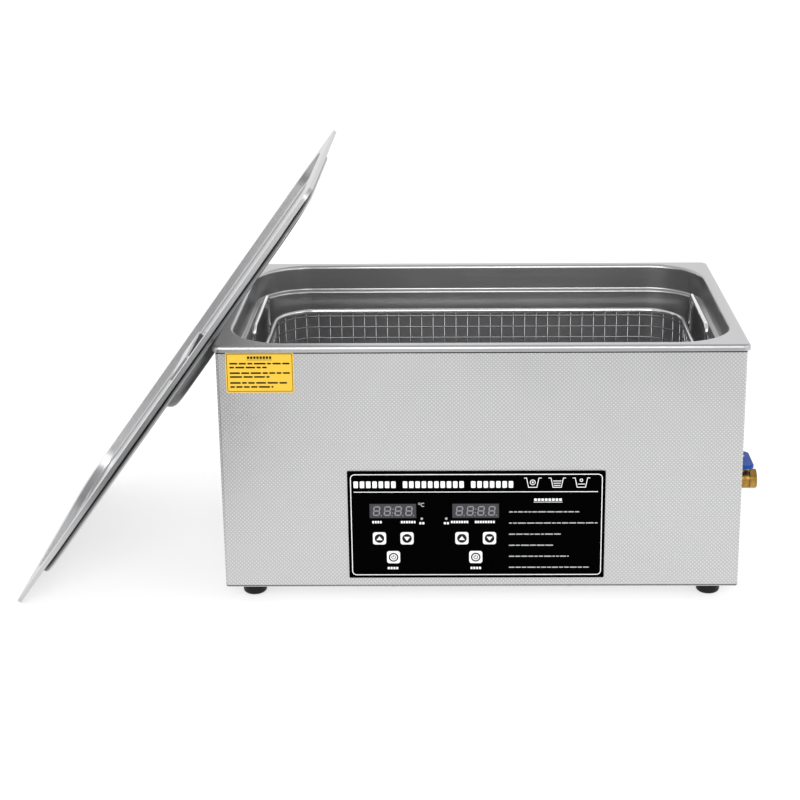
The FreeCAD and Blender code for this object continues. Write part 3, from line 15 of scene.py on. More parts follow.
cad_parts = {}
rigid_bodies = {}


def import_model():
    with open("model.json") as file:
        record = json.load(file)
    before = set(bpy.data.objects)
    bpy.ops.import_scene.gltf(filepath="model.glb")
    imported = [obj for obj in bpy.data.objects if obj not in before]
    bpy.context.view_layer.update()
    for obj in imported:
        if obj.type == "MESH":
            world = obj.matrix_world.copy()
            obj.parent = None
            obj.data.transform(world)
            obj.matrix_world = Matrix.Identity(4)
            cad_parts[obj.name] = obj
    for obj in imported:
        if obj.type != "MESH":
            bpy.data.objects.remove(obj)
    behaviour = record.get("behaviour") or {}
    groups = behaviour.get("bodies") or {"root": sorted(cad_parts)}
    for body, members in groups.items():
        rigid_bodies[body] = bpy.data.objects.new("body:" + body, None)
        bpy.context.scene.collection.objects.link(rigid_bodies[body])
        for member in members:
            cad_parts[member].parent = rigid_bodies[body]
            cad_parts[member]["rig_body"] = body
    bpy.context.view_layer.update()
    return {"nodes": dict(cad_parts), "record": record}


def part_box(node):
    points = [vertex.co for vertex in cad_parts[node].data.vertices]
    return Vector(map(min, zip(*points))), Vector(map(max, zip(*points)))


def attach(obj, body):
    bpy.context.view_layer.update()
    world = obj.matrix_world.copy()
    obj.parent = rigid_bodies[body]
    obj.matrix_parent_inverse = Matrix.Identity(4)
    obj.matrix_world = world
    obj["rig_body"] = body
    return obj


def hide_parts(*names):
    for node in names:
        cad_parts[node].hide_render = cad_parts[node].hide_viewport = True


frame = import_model()

MM = 0.001

# the camera, with its turns in degrees
CAMERA_PLACE = Vector((-0.014, -1.731, 0.768))
CAMERA_YAW = 0.667
CAMERA_PITCH = -16.466
CAMERA_ROLL = -0.399
CAMERA_LENS = 75.52
CAMERA_SHIFT = (-0.06, -0.10)

# the lid's lean, and from its lower edge up to its middle
LID_LEAN = math.radians(54)
LID_MIDDLE = 269.9 * MM

# below the lid's top plane: the skirt's edge, the end of the painted shadow line under it and the plug's
# bottom
LID_SKIRT = 4.1 * MM
SKIRT_SHADOW_END = 6.0 * MM
PLUG_BOTTOM = 10.5 * MM
# painted shadow just under the skirt, and painted shade on the plug's outside below it
PAINTED_SKIRT_SHADOW = (0.03, 0.03, 0.03)
PAINTED_PLUG_SHADE = (0.17, 0.17, 0.172)

# the outline of the plug pressed into the lid, and the lid's thickness
PLUG_LONG = 500 * MM
PLUG_WIDE = 295 * MM
PLUG_CORNER = 56 * MM
LID_SHEET = 1.0 * MM

# the casing's lower edge, where the sheet turns under, with painted shade below it, and the height where the
# painted shadow under the rim's skirt starts
FOLD_SHADE_TOP = 20.6 * MM
RIM_SHADOW_BOTTOM = 269.2 * MM
PAINTED_EDGE_SHADE = (0.03, 0.03, 0.03)

# the casing's embossed dots: their spacing and height, and their tops' and feet's radii in spacings
DOT_PITCH = 4.1 * MM
DOT_HEIGHT = 0.10 * MM
DOT_TOP = 0.14
DOT_FOOT = 0.36
# painted highlight on the dots' tops and painted shade in the hollows between them
DOT_TOP_HIGHLIGHT = (0.67, 0.67, 0.672)
HOLLOW_SHADE = (0.49, 0.49, 0.492)

# the basket's wires
WIRE_RADIUS = 0.7 * MM
BASKET_CORNER = 45 * MM
BASKET_BEND = 8 * MM
LONG_WALL_GAPS = 28
SHORT_WALL_GAPS = 12
CORNER_GAPS = 5
CORNER_TIE_RADIUS = 22 * MM
CORNER_WIRE_END = 0.8 * CORNER_TIE_RADIUS
TIE_STEPS = 8
HOOP_PITCH = 13 * MM
TOP_HOOP_DROP = 5.5 * MM
HANDLE_BEND = 8 * MM
FOOT_BEND = 5 * MM
FOOT_LONG = 28 * MM
FOOT_WIRE_RADIUS = 2 * WIRE_RADIUS

# how far a wire's domed end stands out, in radii of the wire
WIRE_DOME = 0.6

# print: how proud it stands, how deep it reaches into its surface, and its tones
INK = 0.12 * MM
INK_ROOT = 0.05 * MM
WHITE_PRINT = (0.84, 0.84, 0.84)
DIM_PRINT = (0.40, 0.40, 0.41)
BLACK_PRINT = (0.005, 0.005, 0.006)
DIGIT_PRINT = (0.22, 0.22, 0.235)

# small type, in shares of its height: the shortest and the longest word, the least that is drawn, the space
# between two words and a word's corners
WORD_LENGTHS = (2.2, 7.5)
LEAST_WORD = 0.6
WORD_SPACE = 0.85
WORD_CORNER = 0.3

# print lines are mitred in full down to this cosine of half a corner's turn
LEAST_MITRE = 0.4

# the stage
FLOOR_HALF = 12.0
FLOOR_GLOW = 0.62
CARD_HEIGHT = 4 * MM
SKY_STRENGTH = 1.25
LIGHTS_AIM = Vector((0, 0, 0.2))

QUARTERS = ((1, 1), (-1, 1), (-1, -1), (1, -1))

# the Mix node's sockets for numbers and for colours, which have the same names
MIX_NUMBERS = (2, 3)
MIX_COLOURS = (6, 7)
MIXED_COLOUR = 2


# Materials


class Surface:
    """A procedural material: a Principled shader and the texture nodes that feed it."""

    def __init__(self, name, **values):
        """The values are the shader's own, by its sockets' names with _ for a space."""
        self.material = bpy.data.materials.new(name)
        self.material.use_nodes = True
        self.nodes = self.material.node_tree.nodes
        self.links = self.material.node_tree.links
        self.shader = self.nodes["Principled BSDF"]
        self.place = self.nodes.new("ShaderNodeTexCoord").outputs["Object"]
        for socket, value in values.items():
            self.shader.inputs[socket.replace("_", " ")].default_value = value

    def node(self, kind, inputs=(), **settings):
        """A new node; each input is a number, a vector, a colour or another node's output."""
        made = self.nodes.new(kind)
        for setting, value in settings.items():
            setattr(made, setting, value)
        for socket, value in inputs:
            if isinstance(value, bpy.types.NodeSocket):
                self.links.new(value, made.inputs[socket])
            else:
                made.inputs[socket].default_value = value
        return made

    def feed(self, socket, output):
        """Links an output to the shader."""
        self.links.new(output, self.shader.inputs[socket])

    def turned(self, turn):
        """Object coordinates turned about X, Y and Z."""
        return self.node("ShaderNodeMapping", ((0, self.place), ("Rotation", turn))).outputs[0]

    def stretched(self, vector, scale):
        return self.node("ShaderNodeMapping", ((0, vector), ("Scale", scale))).outputs[0]

    def split(self, vector):
        """The vector's X, Y and Z."""
        return tuple(self.node("ShaderNodeSeparateXYZ", ((0, vector),)).outputs)

    def noise(self, vector, scale, detail, roughness):
        inputs = (("Vector", vector), ("Scale", scale), ("Detail", detail), ("Roughness", roughness))
        return self.node("ShaderNodeTexNoise", inputs).outputs["Fac"]

    def spread(self, value, low, high, start=0.3, end=0.7):
        """The value's range from start to end, spread from low to high."""
        inputs = ((0, value), (1, start), (2, end), (3, low), (4, high))
        return self.node("ShaderNodeMapRange", inputs).outputs[0]

    def maths(self, operation, *values):
        return self.node("ShaderNodeMath", tuple(enumerate(values)), operation=operation).outputs[0]

    def choose(self, factor, first, second):
        """The first number where the factor is 0 and the second where it is 1."""
        inputs = ((0, factor), *zip(MIX_NUMBERS, (first, second)))
        return self.node("ShaderNodeMix", inputs).outputs[0]

    def mix(self, factor, first, second):
        """From the first colour to the second; each is a tone or a node's output."""
        colours = [part if isinstance(part, bpy.types.NodeSocket) else (*part, 1) for part in (first, second)]
        inputs = ((0, factor), *zip(MIX_COLOURS, colours))
        return self.node("ShaderNodeMix", inputs, data_type="RGBA").outputs[MIXED_COLOUR]

    def bump(self, height, distance, strength):
        inputs = (("Height", height), ("Distance", distance), ("Strength", strength))
        return self.node("ShaderNodeBump", inputs).outputs[0]


def around(value, share):
    """The value less that share of it, and more by as much."""
    return value * (1 - share), value * (1 + share)


def shade(tone, factor):
    return tuple(min(1.0, part * factor) for part in tone)


def shades(tone, contrast):
    """A darker and a lighter shade of a tone."""
    return shade(tone, 1 - contrast), shade(tone, 1 + contrast)


def brushed_surface(name, tone, roughness, stretch, turn=(0, 0, 0), depth=0.006 * MM, contrast=0.05):
    """Rolled or brushed metal: fine lines along the direction with the least stretch, and soft clouding."""
    line_share = 0.4
    surface = Surface(name, Metallic=1.0)
    place = surface.stretched(surface.turned(turn), stretch)
    lines = surface.noise(place, scale=1.0, detail=3, roughness=0.5)
    clouds = surface.noise(surface.place, scale=9.0, detail=3, roughness=0.5)
    clouding = surface.maths("MULTIPLY", clouds, 1 - line_share)
    both = surface.maths("MULTIPLY_ADD", lines, line_share, clouding)
    surface.feed("Base Color", surface.mix(both, *shades(tone, contrast)))
    surface.feed("Roughness", surface.spread(both, *around(roughness, 0.1)))
    surface.feed("Normal", surface.bump(lines, depth, strength=0.3))
    return surface


def brushed(name, **options):
    return brushed_surface(name, **options).material


def plastic(name, tone, roughness, grain=2500.0, depth=0.03 * MM, contrast=0.06, **values):
    """Moulded plastic, rubber or vinyl: an even tone with slight clouding and a fine grain."""
    surface = Surface(name, **values)
    clouds = surface.noise(surface.place, scale=60.0, detail=3, roughness=0.6)
    fine = surface.noise(surface.place, scale=grain, detail=2, roughness=0.5)
    surface.feed("Base Color", surface.mix(clouds, *shades(tone, contrast)))
    surface.feed("Roughness", surface.spread(clouds, *around(roughness, 0.15)))
    surface.feed("Normal", surface.bump(fine, depth, strength=0.5))
    return surface.material


def ink(name, tone):
    """Screen-printed ink, a little uneven."""
    surface = Surface(name, Specular_IOR_Level=0.15)
    clouds = surface.noise(surface.place, scale=300.0, detail=3, roughness=0.6)
    surface.feed("Base Color", surface.mix(clouds, shade(tone, 0.93), shade(tone, 1.04)))
    surface.feed("Roughness", surface.spread(clouds, 0.42, 0.56))
    return surface.material


def tank_steel():
    """Drawn sheet with faint level lines."""
    return brushed(
        "tank_steel",
        tone=(0.47, 0.47, 0.475),
        roughness=0.31,
        stretch=(6, 6, 700),
        depth=0.001 * MM,
        contrast=0.025,
    )


def raised_dots(surface, along, height):
    """1 on the tops of round dots in staggered rows, and 0 from their feet on."""
    squares = []
    for operation in ("ADD", "SUBTRACT"):
        diagonal = surface.maths(operation, along, height)
        cell = surface.maths("FRACT", surface.maths("DIVIDE", diagonal, DOT_PITCH))
        away = surface.maths("SUBTRACT", cell, 0.5)
        squares.append(surface.maths("MULTIPLY", away, away))
    reach = surface.maths("SQRT", surface.maths("ADD", *squares))
    return surface.spread(reach, 1.0, 0.0, start=DOT_TOP, end=DOT_FOOT)


def embossed_steel():
    """Stainless sheet rolled with staggered raised dots on the cabinet's upright walls."""
    least_sideways = 0.7
    surface = Surface("embossed_steel", Metallic=1.0)
    facing_x, _, _ = surface.split(surface.node("ShaderNodeNewGeometry").outputs["Normal"])
    x, y, z = surface.split(surface.place)
    on_side = surface.maths("GREATER_THAN", surface.maths("ABSOLUTE", facing_x), least_sideways)
    dots = raised_dots(surface, surface.choose(on_side, x, y), z)
    clouds = surface.noise(surface.place, scale=14.0, detail=4, roughness=0.6)
    # painted shade along the bottom edge, and painted shadow in the gap under the rim's skirt
    fold_shade = surface.maths("LESS_THAN", z, FOLD_SHADE_TOP)
    rim_shadow = surface.maths("GREATER_THAN", z, RIM_SHADOW_BOTTOM)
    # the dots' tops get a painted highlight and their hollows painted shade
    dots_lit_and_shaded = surface.mix(dots, HOLLOW_SHADE, DOT_TOP_HIGHLIGHT)
    surface.feed("Base Color", surface.mix(surface.maths("MAXIMUM", fold_shade, rim_shadow), dots_lit_and_shaded, PAINTED_EDGE_SHADE))
    surface.feed("Roughness", surface.spread(clouds, 0.34, 0.42))
    surface.feed("Normal", surface.bump(dots, DOT_HEIGHT, strength=0.9))
    return surface.material


def outline_reach(surface, spans, corner):
    """How far a place is past a rounded rectangle's straight middle: its corners' radius on the outline."""
    squares = []
    for place, middle, half in spans:
        away = surface.maths("ABSOLUTE", surface.maths("SUBTRACT", place, middle))
        past = surface.maths("MAXIMUM", surface.maths("SUBTRACT", away, half - corner), 0.0)
        squares.append(surface.maths("MULTIPLY", past, past))
    return surface.maths("SQRT", surface.maths("ADD", *squares))


def lid_steel():
    """Brushed sheet; outside, what is pressed below the skirt has painted shade, darkest in a painted shadow
    line just under the skirt.
    """
    turn = (0, LID_LEAN, 0)
    surface = brushed_surface(
        "lid_steel", tone=(0.52, 0.52, 0.525), roughness=0.34, stretch=(6, 700, 40), turn=turn, contrast=0.04
    )
    low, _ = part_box("lid_pan")
    top = -low.x * math.sin(LID_LEAN)
    middle = low.x * math.cos(LID_LEAN) + LID_MIDDLE
    up_lid, across_lid, height = surface.split(surface.turned(turn))
    spans = ((up_lid, middle, PLUG_LONG / 2), (across_lid, 0.0, PLUG_WIDE / 2))
    reach = outline_reach(surface, spans, PLUG_CORNER)
    on_side = surface.maths("GREATER_THAN", reach, PLUG_CORNER - LID_SHEET / 2)
    on_bottom = surface.maths("LESS_THAN", height, top - PLUG_BOTTOM)
    outside = surface.maths("MAXIMUM", on_side, on_bottom)
    colour = surface.shader.inputs["Base Color"].links[0].from_socket
    # paints the shadow line under the skirt, then the shade on the plug's outside
    for depth, tone in ((LID_SKIRT, PAINTED_SKIRT_SHADOW), (SKIRT_SHADOW_END, PAINTED_PLUG_SHADE)):
        below = surface.maths("LESS_THAN", height, top - depth)
        colour = surface.mix(surface.maths("MULTIPLY", below, outside), colour, tone)
    surface.feed("Base Color", colour)
    return surface.material


def plain_steel():
    return brushed("plain_steel", tone=(0.42, 0.42, 0.43), roughness=0.4, stretch=(12, 700, 200))


def handle_steel():
    return brushed(
        "handle_steel", tone=(0.50, 0.50, 0.51), roughness=0.32, stretch=(60, 60, 300), depth=0.001 * MM
    )


def wire_steel():
    return brushed(
        "wire_steel", tone=(0.40, 0.40, 0.41), roughness=0.2, stretch=(220, 220, 220), contrast=0.1
    )


def shaded_fine_wire_steel():
    """The basket's thin wires, in a darker copy of the heavy wires' steel as painted shade."""
    return brushed(
        "shaded_fine_wire_steel", tone=(0.24, 0.24, 0.245), roughness=0.22, stretch=(220, 220, 220), contrast=0.1
    )


def screw_steel():
    return brushed("screw_steel", tone=(0.6, 0.6, 0.6), roughness=0.3, stretch=(500, 500, 500))


def bright_chrome():
    return brushed("bright_chrome", tone=(0.8, 0.8, 0.82), roughness=0.12, stretch=(200, 200, 200))


def seal_rubber():
    return plastic("seal_rubber", tone=(0.02, 0.02, 0.02), roughness=0.6)


def foot_rubber():
    return plastic(
        "foot_rubber",
        tone=(0.006, 0.006, 0.006),
        roughness=0.4,
        grain=1200.0,
        depth=0.05 * MM,
        Specular_IOR_Level=0.2,
    )


def heater_rubber():
    return plastic("heater_rubber", tone=(0.35, 0.06, 0.03), roughness=0.6)


def cast_brass():
    """Dull brass with a brown bloom in patches and a slightly cast skin."""
    surface = Surface("cast_brass", Metallic=1.0)
    bloom = surface.noise(surface.place, scale=180.0, detail=5, roughness=0.65)
    skin = surface.noise(surface.place, scale=1400.0, detail=3, roughness=0.6)
    patches = surface.spread(bloom, 0, 1, start=0.35, end=0.68)
    surface.feed("Base Color", surface.mix(patches, (0.46, 0.27, 0.06), (0.24, 0.13, 0.028)))
    surface.feed("Roughness", surface.spread(bloom, 0.24, 0.42))
    surface.feed("Normal", surface.bump(skin, 0.05 * MM, strength=0.5))
    return surface.material


def blue_vinyl():
    """The dipped sleeve of the valve's lever, with a coarse soft grain."""
    return plastic(
        "blue_vinyl",
        tone=(0.006, 0.065, 0.36),
        roughness=0.4,
        grain=260.0,
        depth=0.1 * MM,
        Specular_IOR_Level=0.15,
    )


def turned_aluminium():
    """Bare aluminium with lathe rings."""
    return brushed("turned_aluminium", tone=(0.78, 0.79, 0.8), roughness=0.38, stretch=(15, 15, 900))


def piezo_ceramic():
    return plastic("piezo_ceramic", tone=(0.45, 0.40, 0.33), roughness=0.7)


def circuit_board():
    """Green solder mask over thin copper tracks."""
    track_half = 0.06
    surface = Surface("circuit_board", Roughness=0.35, Coat_Weight=0.4)
    inputs = (("Vector", surface.place), ("Scale", 160.0))
    cells = surface.node("ShaderNodeTexVoronoi", inputs, feature="DISTANCE_TO_EDGE", distance="MANHATTAN")
    track = surface.maths("LESS_THAN", cells.outputs[0], track_half)
    surface.feed("Base Color", surface.mix(track, (0.01, 0.10, 0.035), (0.03, 0.22, 0.08)))
    surface.feed("Normal", surface.bump(track, 0.04 * MM, strength=0.6))
    return surface.material


def laminated_core():
    """Stacked dark laminations of a transformer core."""
    surface = Surface("laminated_core", Metallic=0.6, Roughness=0.55)
    place = surface.stretched(surface.place, (5, 1400, 5))
    sheets = surface.noise(place, scale=1.0, detail=1, roughness=0.5)
    surface.feed("Base Color", surface.mix(sheets, (0.05, 0.05, 0.055), (0.16, 0.15, 0.14)))
    surface.feed("Normal", surface.bump(sheets, 0.1 * MM, strength=0.5))
    return surface.material


def capacitor_sleeve():
    return plastic("capacitor_sleeve", tone=(0.05, 0.12, 0.3), roughness=0.35)


def white_plastic():
    return plastic("white_plastic", tone=(0.75, 0.75, 0.72), roughness=0.4)


def black_plastic():
    return plastic("black_plastic", tone=(0.018, 0.018, 0.02), roughness=0.42)


def panel_film():
    """The panel's deep black film."""
    return plastic(
        "panel_film",
        tone=(0.0008, 0.0008, 0.0009),
        roughness=0.3,
        grain=900.0,
        depth=0.004 * MM,
        Specular_IOR_Level=0.0,
    )


def key_film():
    return plastic("key_film", tone=(0.84, 0.84, 0.84), roughness=0.42, depth=0.01 * MM, contrast=0.02)


def display_glass():
    return plastic(
        "display_glass", tone=(0.04, 0.04, 0.046), roughness=0.18, depth=0.005 * MM, Specular_IOR_Level=0.2
    )


def lamp_lens():
    return plastic("lamp_lens", tone=(0.5, 0.1, 0.06), roughness=0.2, Transmission_Weight=0.4)


def rocker_red():
    return plastic("rocker_red", tone=(0.5, 0.02, 0.015), roughness=0.3, depth=0.01 * MM)


def label_yellow():
    return plastic("label_yellow", tone=(0.70, 0.43, 0.02), roughness=0.5, depth=0.008 * MM, contrast=0.03)


def label_silver():
    return brushed("label_silver", tone=(0.7, 0.7, 0.71), roughness=0.35, stretch=(900, 20, 20))


# the material of each of the record's slots
FINISHES = {
    "tank_steel": tank_steel,
    "cabinet_steel": embossed_steel,
    "lid_steel": lid_steel,
    "plain_steel": plain_steel,
    "handle_steel": handle_steel,
    "wire_steel": wire_steel,
    "screw_steel": screw_steel,
    "bright_chrome": bright_chrome,
    "seal_rubber": seal_rubber,
    "foot_rubber": foot_rubber,
    "heater_rubber": heater_rubber,
    "brass": cast_brass,
    "blue_enamel": blue_vinyl,
    "raw_aluminium": turned_aluminium,
    "piezo_ceramic": piezo_ceramic,
    "circuit_board": circuit_board,
    "transformer_core": laminated_core,
    "capacitor_plastic": capacitor_sleeve,
    "white_plastic": white_plastic,
    "black_plastic": black_plastic,
    "panel_black": panel_film,
    "key_plastic": key_film,
    "display_grey": display_glass,
    "lamp_lens": lamp_lens,
    "rocker_red": rocker_red,
    "label_yellow": label_yellow,
    "label_silver": label_silver,
}


def dress_cad_parts():
    """Gives every CAD part the material of its slot in the record."""
    made = {slot: finish() for slot, finish in FINISHES.items()}
    for part in frame["record"]["subparts"]:
        for place in frame["nodes"][part["node"]].material_slots:
            place.material = made[part["material_slot"]]


# Meshes


class Shell:
    """Vertices and faces gathered for one piece."""

    def __init__(self):
        self.vertices = []
        self.faces = []

    def add(self, vertices, faces):
        start = len(self.vertices)
        self.vertices += [tuple(vertex) for vertex in vertices]
        self.faces += [tuple(start + index for index in face) for face in faces]

    def piece(self, name, material, body, slot=None, smooth=False, stands_for=()):
        """Makes the object, riding on its body."""
        mesh = bpy.data.meshes.new(name)
        mesh.from_pydata(self.vertices, [], self.faces)
        mesh.materials.append(material)
        mesh.polygons.foreach_set("use_smooth", [smooth] * len(mesh.polygons))
        mesh.update()
        made = bpy.data.objects.new(name, mesh)
        bpy.context.scene.collection.objects.link(made)
        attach(made, body)
        if stands_for:
            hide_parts(*stands_for)


def rounded(points, radius, closed=False, steps=5):
    """The line through the points with an arc of that radius at each corner."""
    count = len(points)
    line = []
    for index, corner in enumerate(points):
        if not closed and index in (0, count - 1):
            line.append(corner)
            continue
        back = (points[index - 1] - corner).normalized()
        ahead = (points[(index + 1) % count] - corner).normalized()
        half = back.angle(ahead) / 2
        centre = corner + (back + ahead).normalized() * (radius / math.sin(half))
        first = corner + back * (radius / math.tan(half)) - centre
        last = corner + ahead * (radius / math.tan(half)) - centre
        for step in range(steps + 1):
            line.append(centre + first.slerp(last, step / steps).normalized() * radius)
    return line


def directions(line, closed):
    """Which way the line runs at each of its points."""
    count = len(line)
    found = []
    for index in range(count):
        before = line[index - 1] if index or closed else line[index]
        after = line[(index + 1) % count] if index < count - 1 or closed else line[index]
        found.append((after - before).normalized())
    return found


def tube_vertices(line, tangents, radius, sides):
    """A ring of vertices round each point of the line, turned as little as possible from one to the next."""
    turns = [2 * math.pi * side / sides for side in range(sides)]
    across = tangents[0].orthogonal()
    vertices = []
    for point, tangent in zip(line, tangents):
        across = (across - tangent * across.dot(tangent)).normalized()
        beside = tangent.cross(across)
        vertices += [point + (across * math.cos(turn) + beside * math.sin(turn)) * radius for turn in turns]
    return vertices


def add_wire(shell, line, radius, closed=False, sides=8):
    """A round wire along a line, with domed ends if it is open."""
    count = len(line)
    spans = count if closed else count - 1
    tangents = directions(line, closed)
    vertices = tube_vertices(line, tangents, radius, sides)
    faces = []
    for ring in range(spans):
        low, high = ring * sides, (ring + 1) % count * sides
        for side in range(sides):
            beside = (side + 1) % sides
            faces.append((low + side, low + beside, high + beside, high + side))
    if not closed:
        start = (line[0], -tangents[0], 0, -1)
        end = (line[-1], tangents[-1], spans * sides, 1)
        for point, outward, low, order in (start, end):
            tip = len(vertices)
            vertices.append(point + outward * radius * WIRE_DOME)
            for side in range(sides):
                faces.append((low + side, low + (side + 1) % sides, tip)[::order])
    shell.add(vertices, faces)


def add_bent_wire(shell, corners, bend, radius, steps=5, sides=8):
    """An open wire bent at each of its corners."""
    add_wire(shell, rounded([Vector(corner) for corner in corners], bend, steps=steps), radius, sides=sides)


# The basket


def basket_sizes():
    """The top wire's half lengths, height and radius, and the floor's height, from the CAD parts."""
    low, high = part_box("basket_frame")
    floor_low, floor_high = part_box("basket_floor")
    radius = (high.z - low.z) / 2
    return SimpleNamespace(
        half_x=high.x - radius,
        half_y=high.y - radius,
        top=low.z + radius,
        top_radius=radius,
        floor=(floor_low.z + floor_high.z) / 2,
    )


def hoop(half_x, half_y, height, corner):
    """The line of a rounded rectangle at one height."""
    corners = [Vector((x * half_x, y * half_y, height)) for x, y in QUARTERS]
    return rounded(corners, corner, closed=True, steps=8)


def spaced(half, gaps):
    return [-half + 2 * half * number / gaps for number in range(gaps + 1)]


def add_straight_wires(shell, basket):
    """Wires down one wall, across the floor and up the other wall: a layer each way, one on the other."""
    half_x, half_y, top = basket.half_x, basket.half_y, basket.top
    low, high = basket.floor - WIRE_RADIUS, basket.floor + WIRE_RADIUS
    for x in spaced(half_x - BASKET_CORNER, LONG_WALL_GAPS):
        corners = [(x, -half_y, top), (x, -half_y, low), (x, half_y, low), (x, half_y, top)]
        add_bent_wire(shell, corners, BASKET_BEND, WIRE_RADIUS)
    for y in spaced(half_y - BASKET_CORNER, SHORT_WALL_GAPS):
        corners = [(-half_x, y, top), (-half_x, y, high), (half_x, y, high), (half_x, y, top)]
        add_bent_wire(shell, corners, BASKET_BEND, WIRE_RADIUS)


def corner_place(basket, quarter, angle, radius, height):
    """A place round the centre of one of the basket's rounded corners."""
    side_x, side_y = quarter
    return Vector((
        side_x * (basket.half_x - BASKET_CORNER + radius * math.cos(angle)),
        side_y * (basket.half_y - BASKET_CORNER + radius * math.sin(angle)),
        height,
    ))


def add_corner_wires(shell, basket):
    """At each corner, wires down the wall and in along the floor, and the quarter circle that ties them."""
    low, high = basket.floor - WIRE_RADIUS, basket.floor + WIRE_RADIUS
    tie_angles = [math.pi / 2 * step / TIE_STEPS for step in range(TIE_STEPS + 1)]
    for quarter in QUARTERS:
        for number in range(1, CORNER_GAPS):
            angle = math.pi / 2 * number / CORNER_GAPS
            corners = [
                corner_place(basket, quarter, angle, BASKET_CORNER, basket.top),
                corner_place(basket, quarter, angle, BASKET_CORNER, low),
                corner_place(basket, quarter, angle, CORNER_WIRE_END, low),
            ]
            add_bent_wire(shell, corners, BASKET_BEND, WIRE_RADIUS)
        tie = [corner_place(basket, quarter, angle, CORNER_TIE_RADIUS, high) for angle in tie_angles]
        add_wire(shell, tie, WIRE_RADIUS)


def add_hoops(shell, basket):
    """Level wires round the inside of the walls, from under the top wire down to the floor's bend."""
    inset = 2 * WIRE_RADIUS
    level = basket.top - TOP_HOOP_DROP
    while level > basket.floor + BASKET_BEND:
        line = hoop(basket.half_x - inset, basket.half_y - inset, level, BASKET_CORNER - inset)
        add_wire(shell, line, WIRE_RADIUS, closed=True)
        level -= HOOP_PITCH


def make_basket():
    """The welded walls and floor, in one piece, and the heavy wire round their top."""
    basket = basket_sizes()
    mesh = Shell()
    add_straight_wires(mesh, basket)
    add_corner_wires(mesh, basket)
    add_hoops(mesh, basket)
    # the thin wires take the darker copy of the wire steel, which is painted shade
    mesh.piece(
        "basket_wires",
        shaded_fine_wire_steel(),
        "basket",
        "wire_steel",
        smooth=True,
        stands_for=("basket_walls", "basket_floor"),
    )
    heavy = Shell()
    line = hoop(basket.half_x, basket.half_y, basket.top, BASKET_CORNER)
    add_wire(heavy, line, basket.top_radius, closed=True, sides=14)
    steel = bpy.data.materials["wire_steel"]
    heavy.piece("basket_top_wire", steel, "basket", "wire_steel", smooth=True, stands_for=("basket_frame",))


def make_basket_handles():
    """The two lifting handles, each a heavy wire up from the top wire, across and down."""
    low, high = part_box("basket_handles")
    radius = basket_sizes().top_radius
    reach, crown = high.y - radius, high.z - radius
    shell = Shell()
    for x in (-(high.x - radius), high.x - radius):
        corners = [(x, -reach, low.z), (x, -reach, crown), (x, reach, crown), (x, reach, low.z)]
        add_bent_wire(shell, corners, HANDLE_BEND, radius, steps=8, sides=14)
    steel = bpy.data.materials["wire_steel"]
    shell.piece(
        "basket_lifting_handles", steel, "basket", "wire_steel", smooth=True, stands_for=("basket_handles",)
    )


def make_basket_feet():
    """Four feet, each a wire down from the floor, along and up again."""
    low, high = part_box("basket_feet")
    outer = high.x - FOOT_WIRE_RADIUS
    inner = outer - FOOT_LONG
    bottom = low.z + FOOT_WIRE_RADIUS
    shell = Shell()
    for side_x in (-1, 1):
        for side_y in (-1, 1):
            y = side_y * (high.y - FOOT_WIRE_RADIUS)
            start, end = side_x * inner, side_x * outer
            corners = [(start, y, high.z), (start, y, bottom), (end, y, bottom), (end, y, high.z)]
            add_bent_wire(shell, corners, FOOT_BEND, FOOT_WIRE_RADIUS, sides=10)
    steel = bpy.data.materials["wire_steel"]
    shell.piece("basket_wire_feet", steel, "basket", "wire_steel", smooth=True, stands_for=("basket_feet",))


# Print


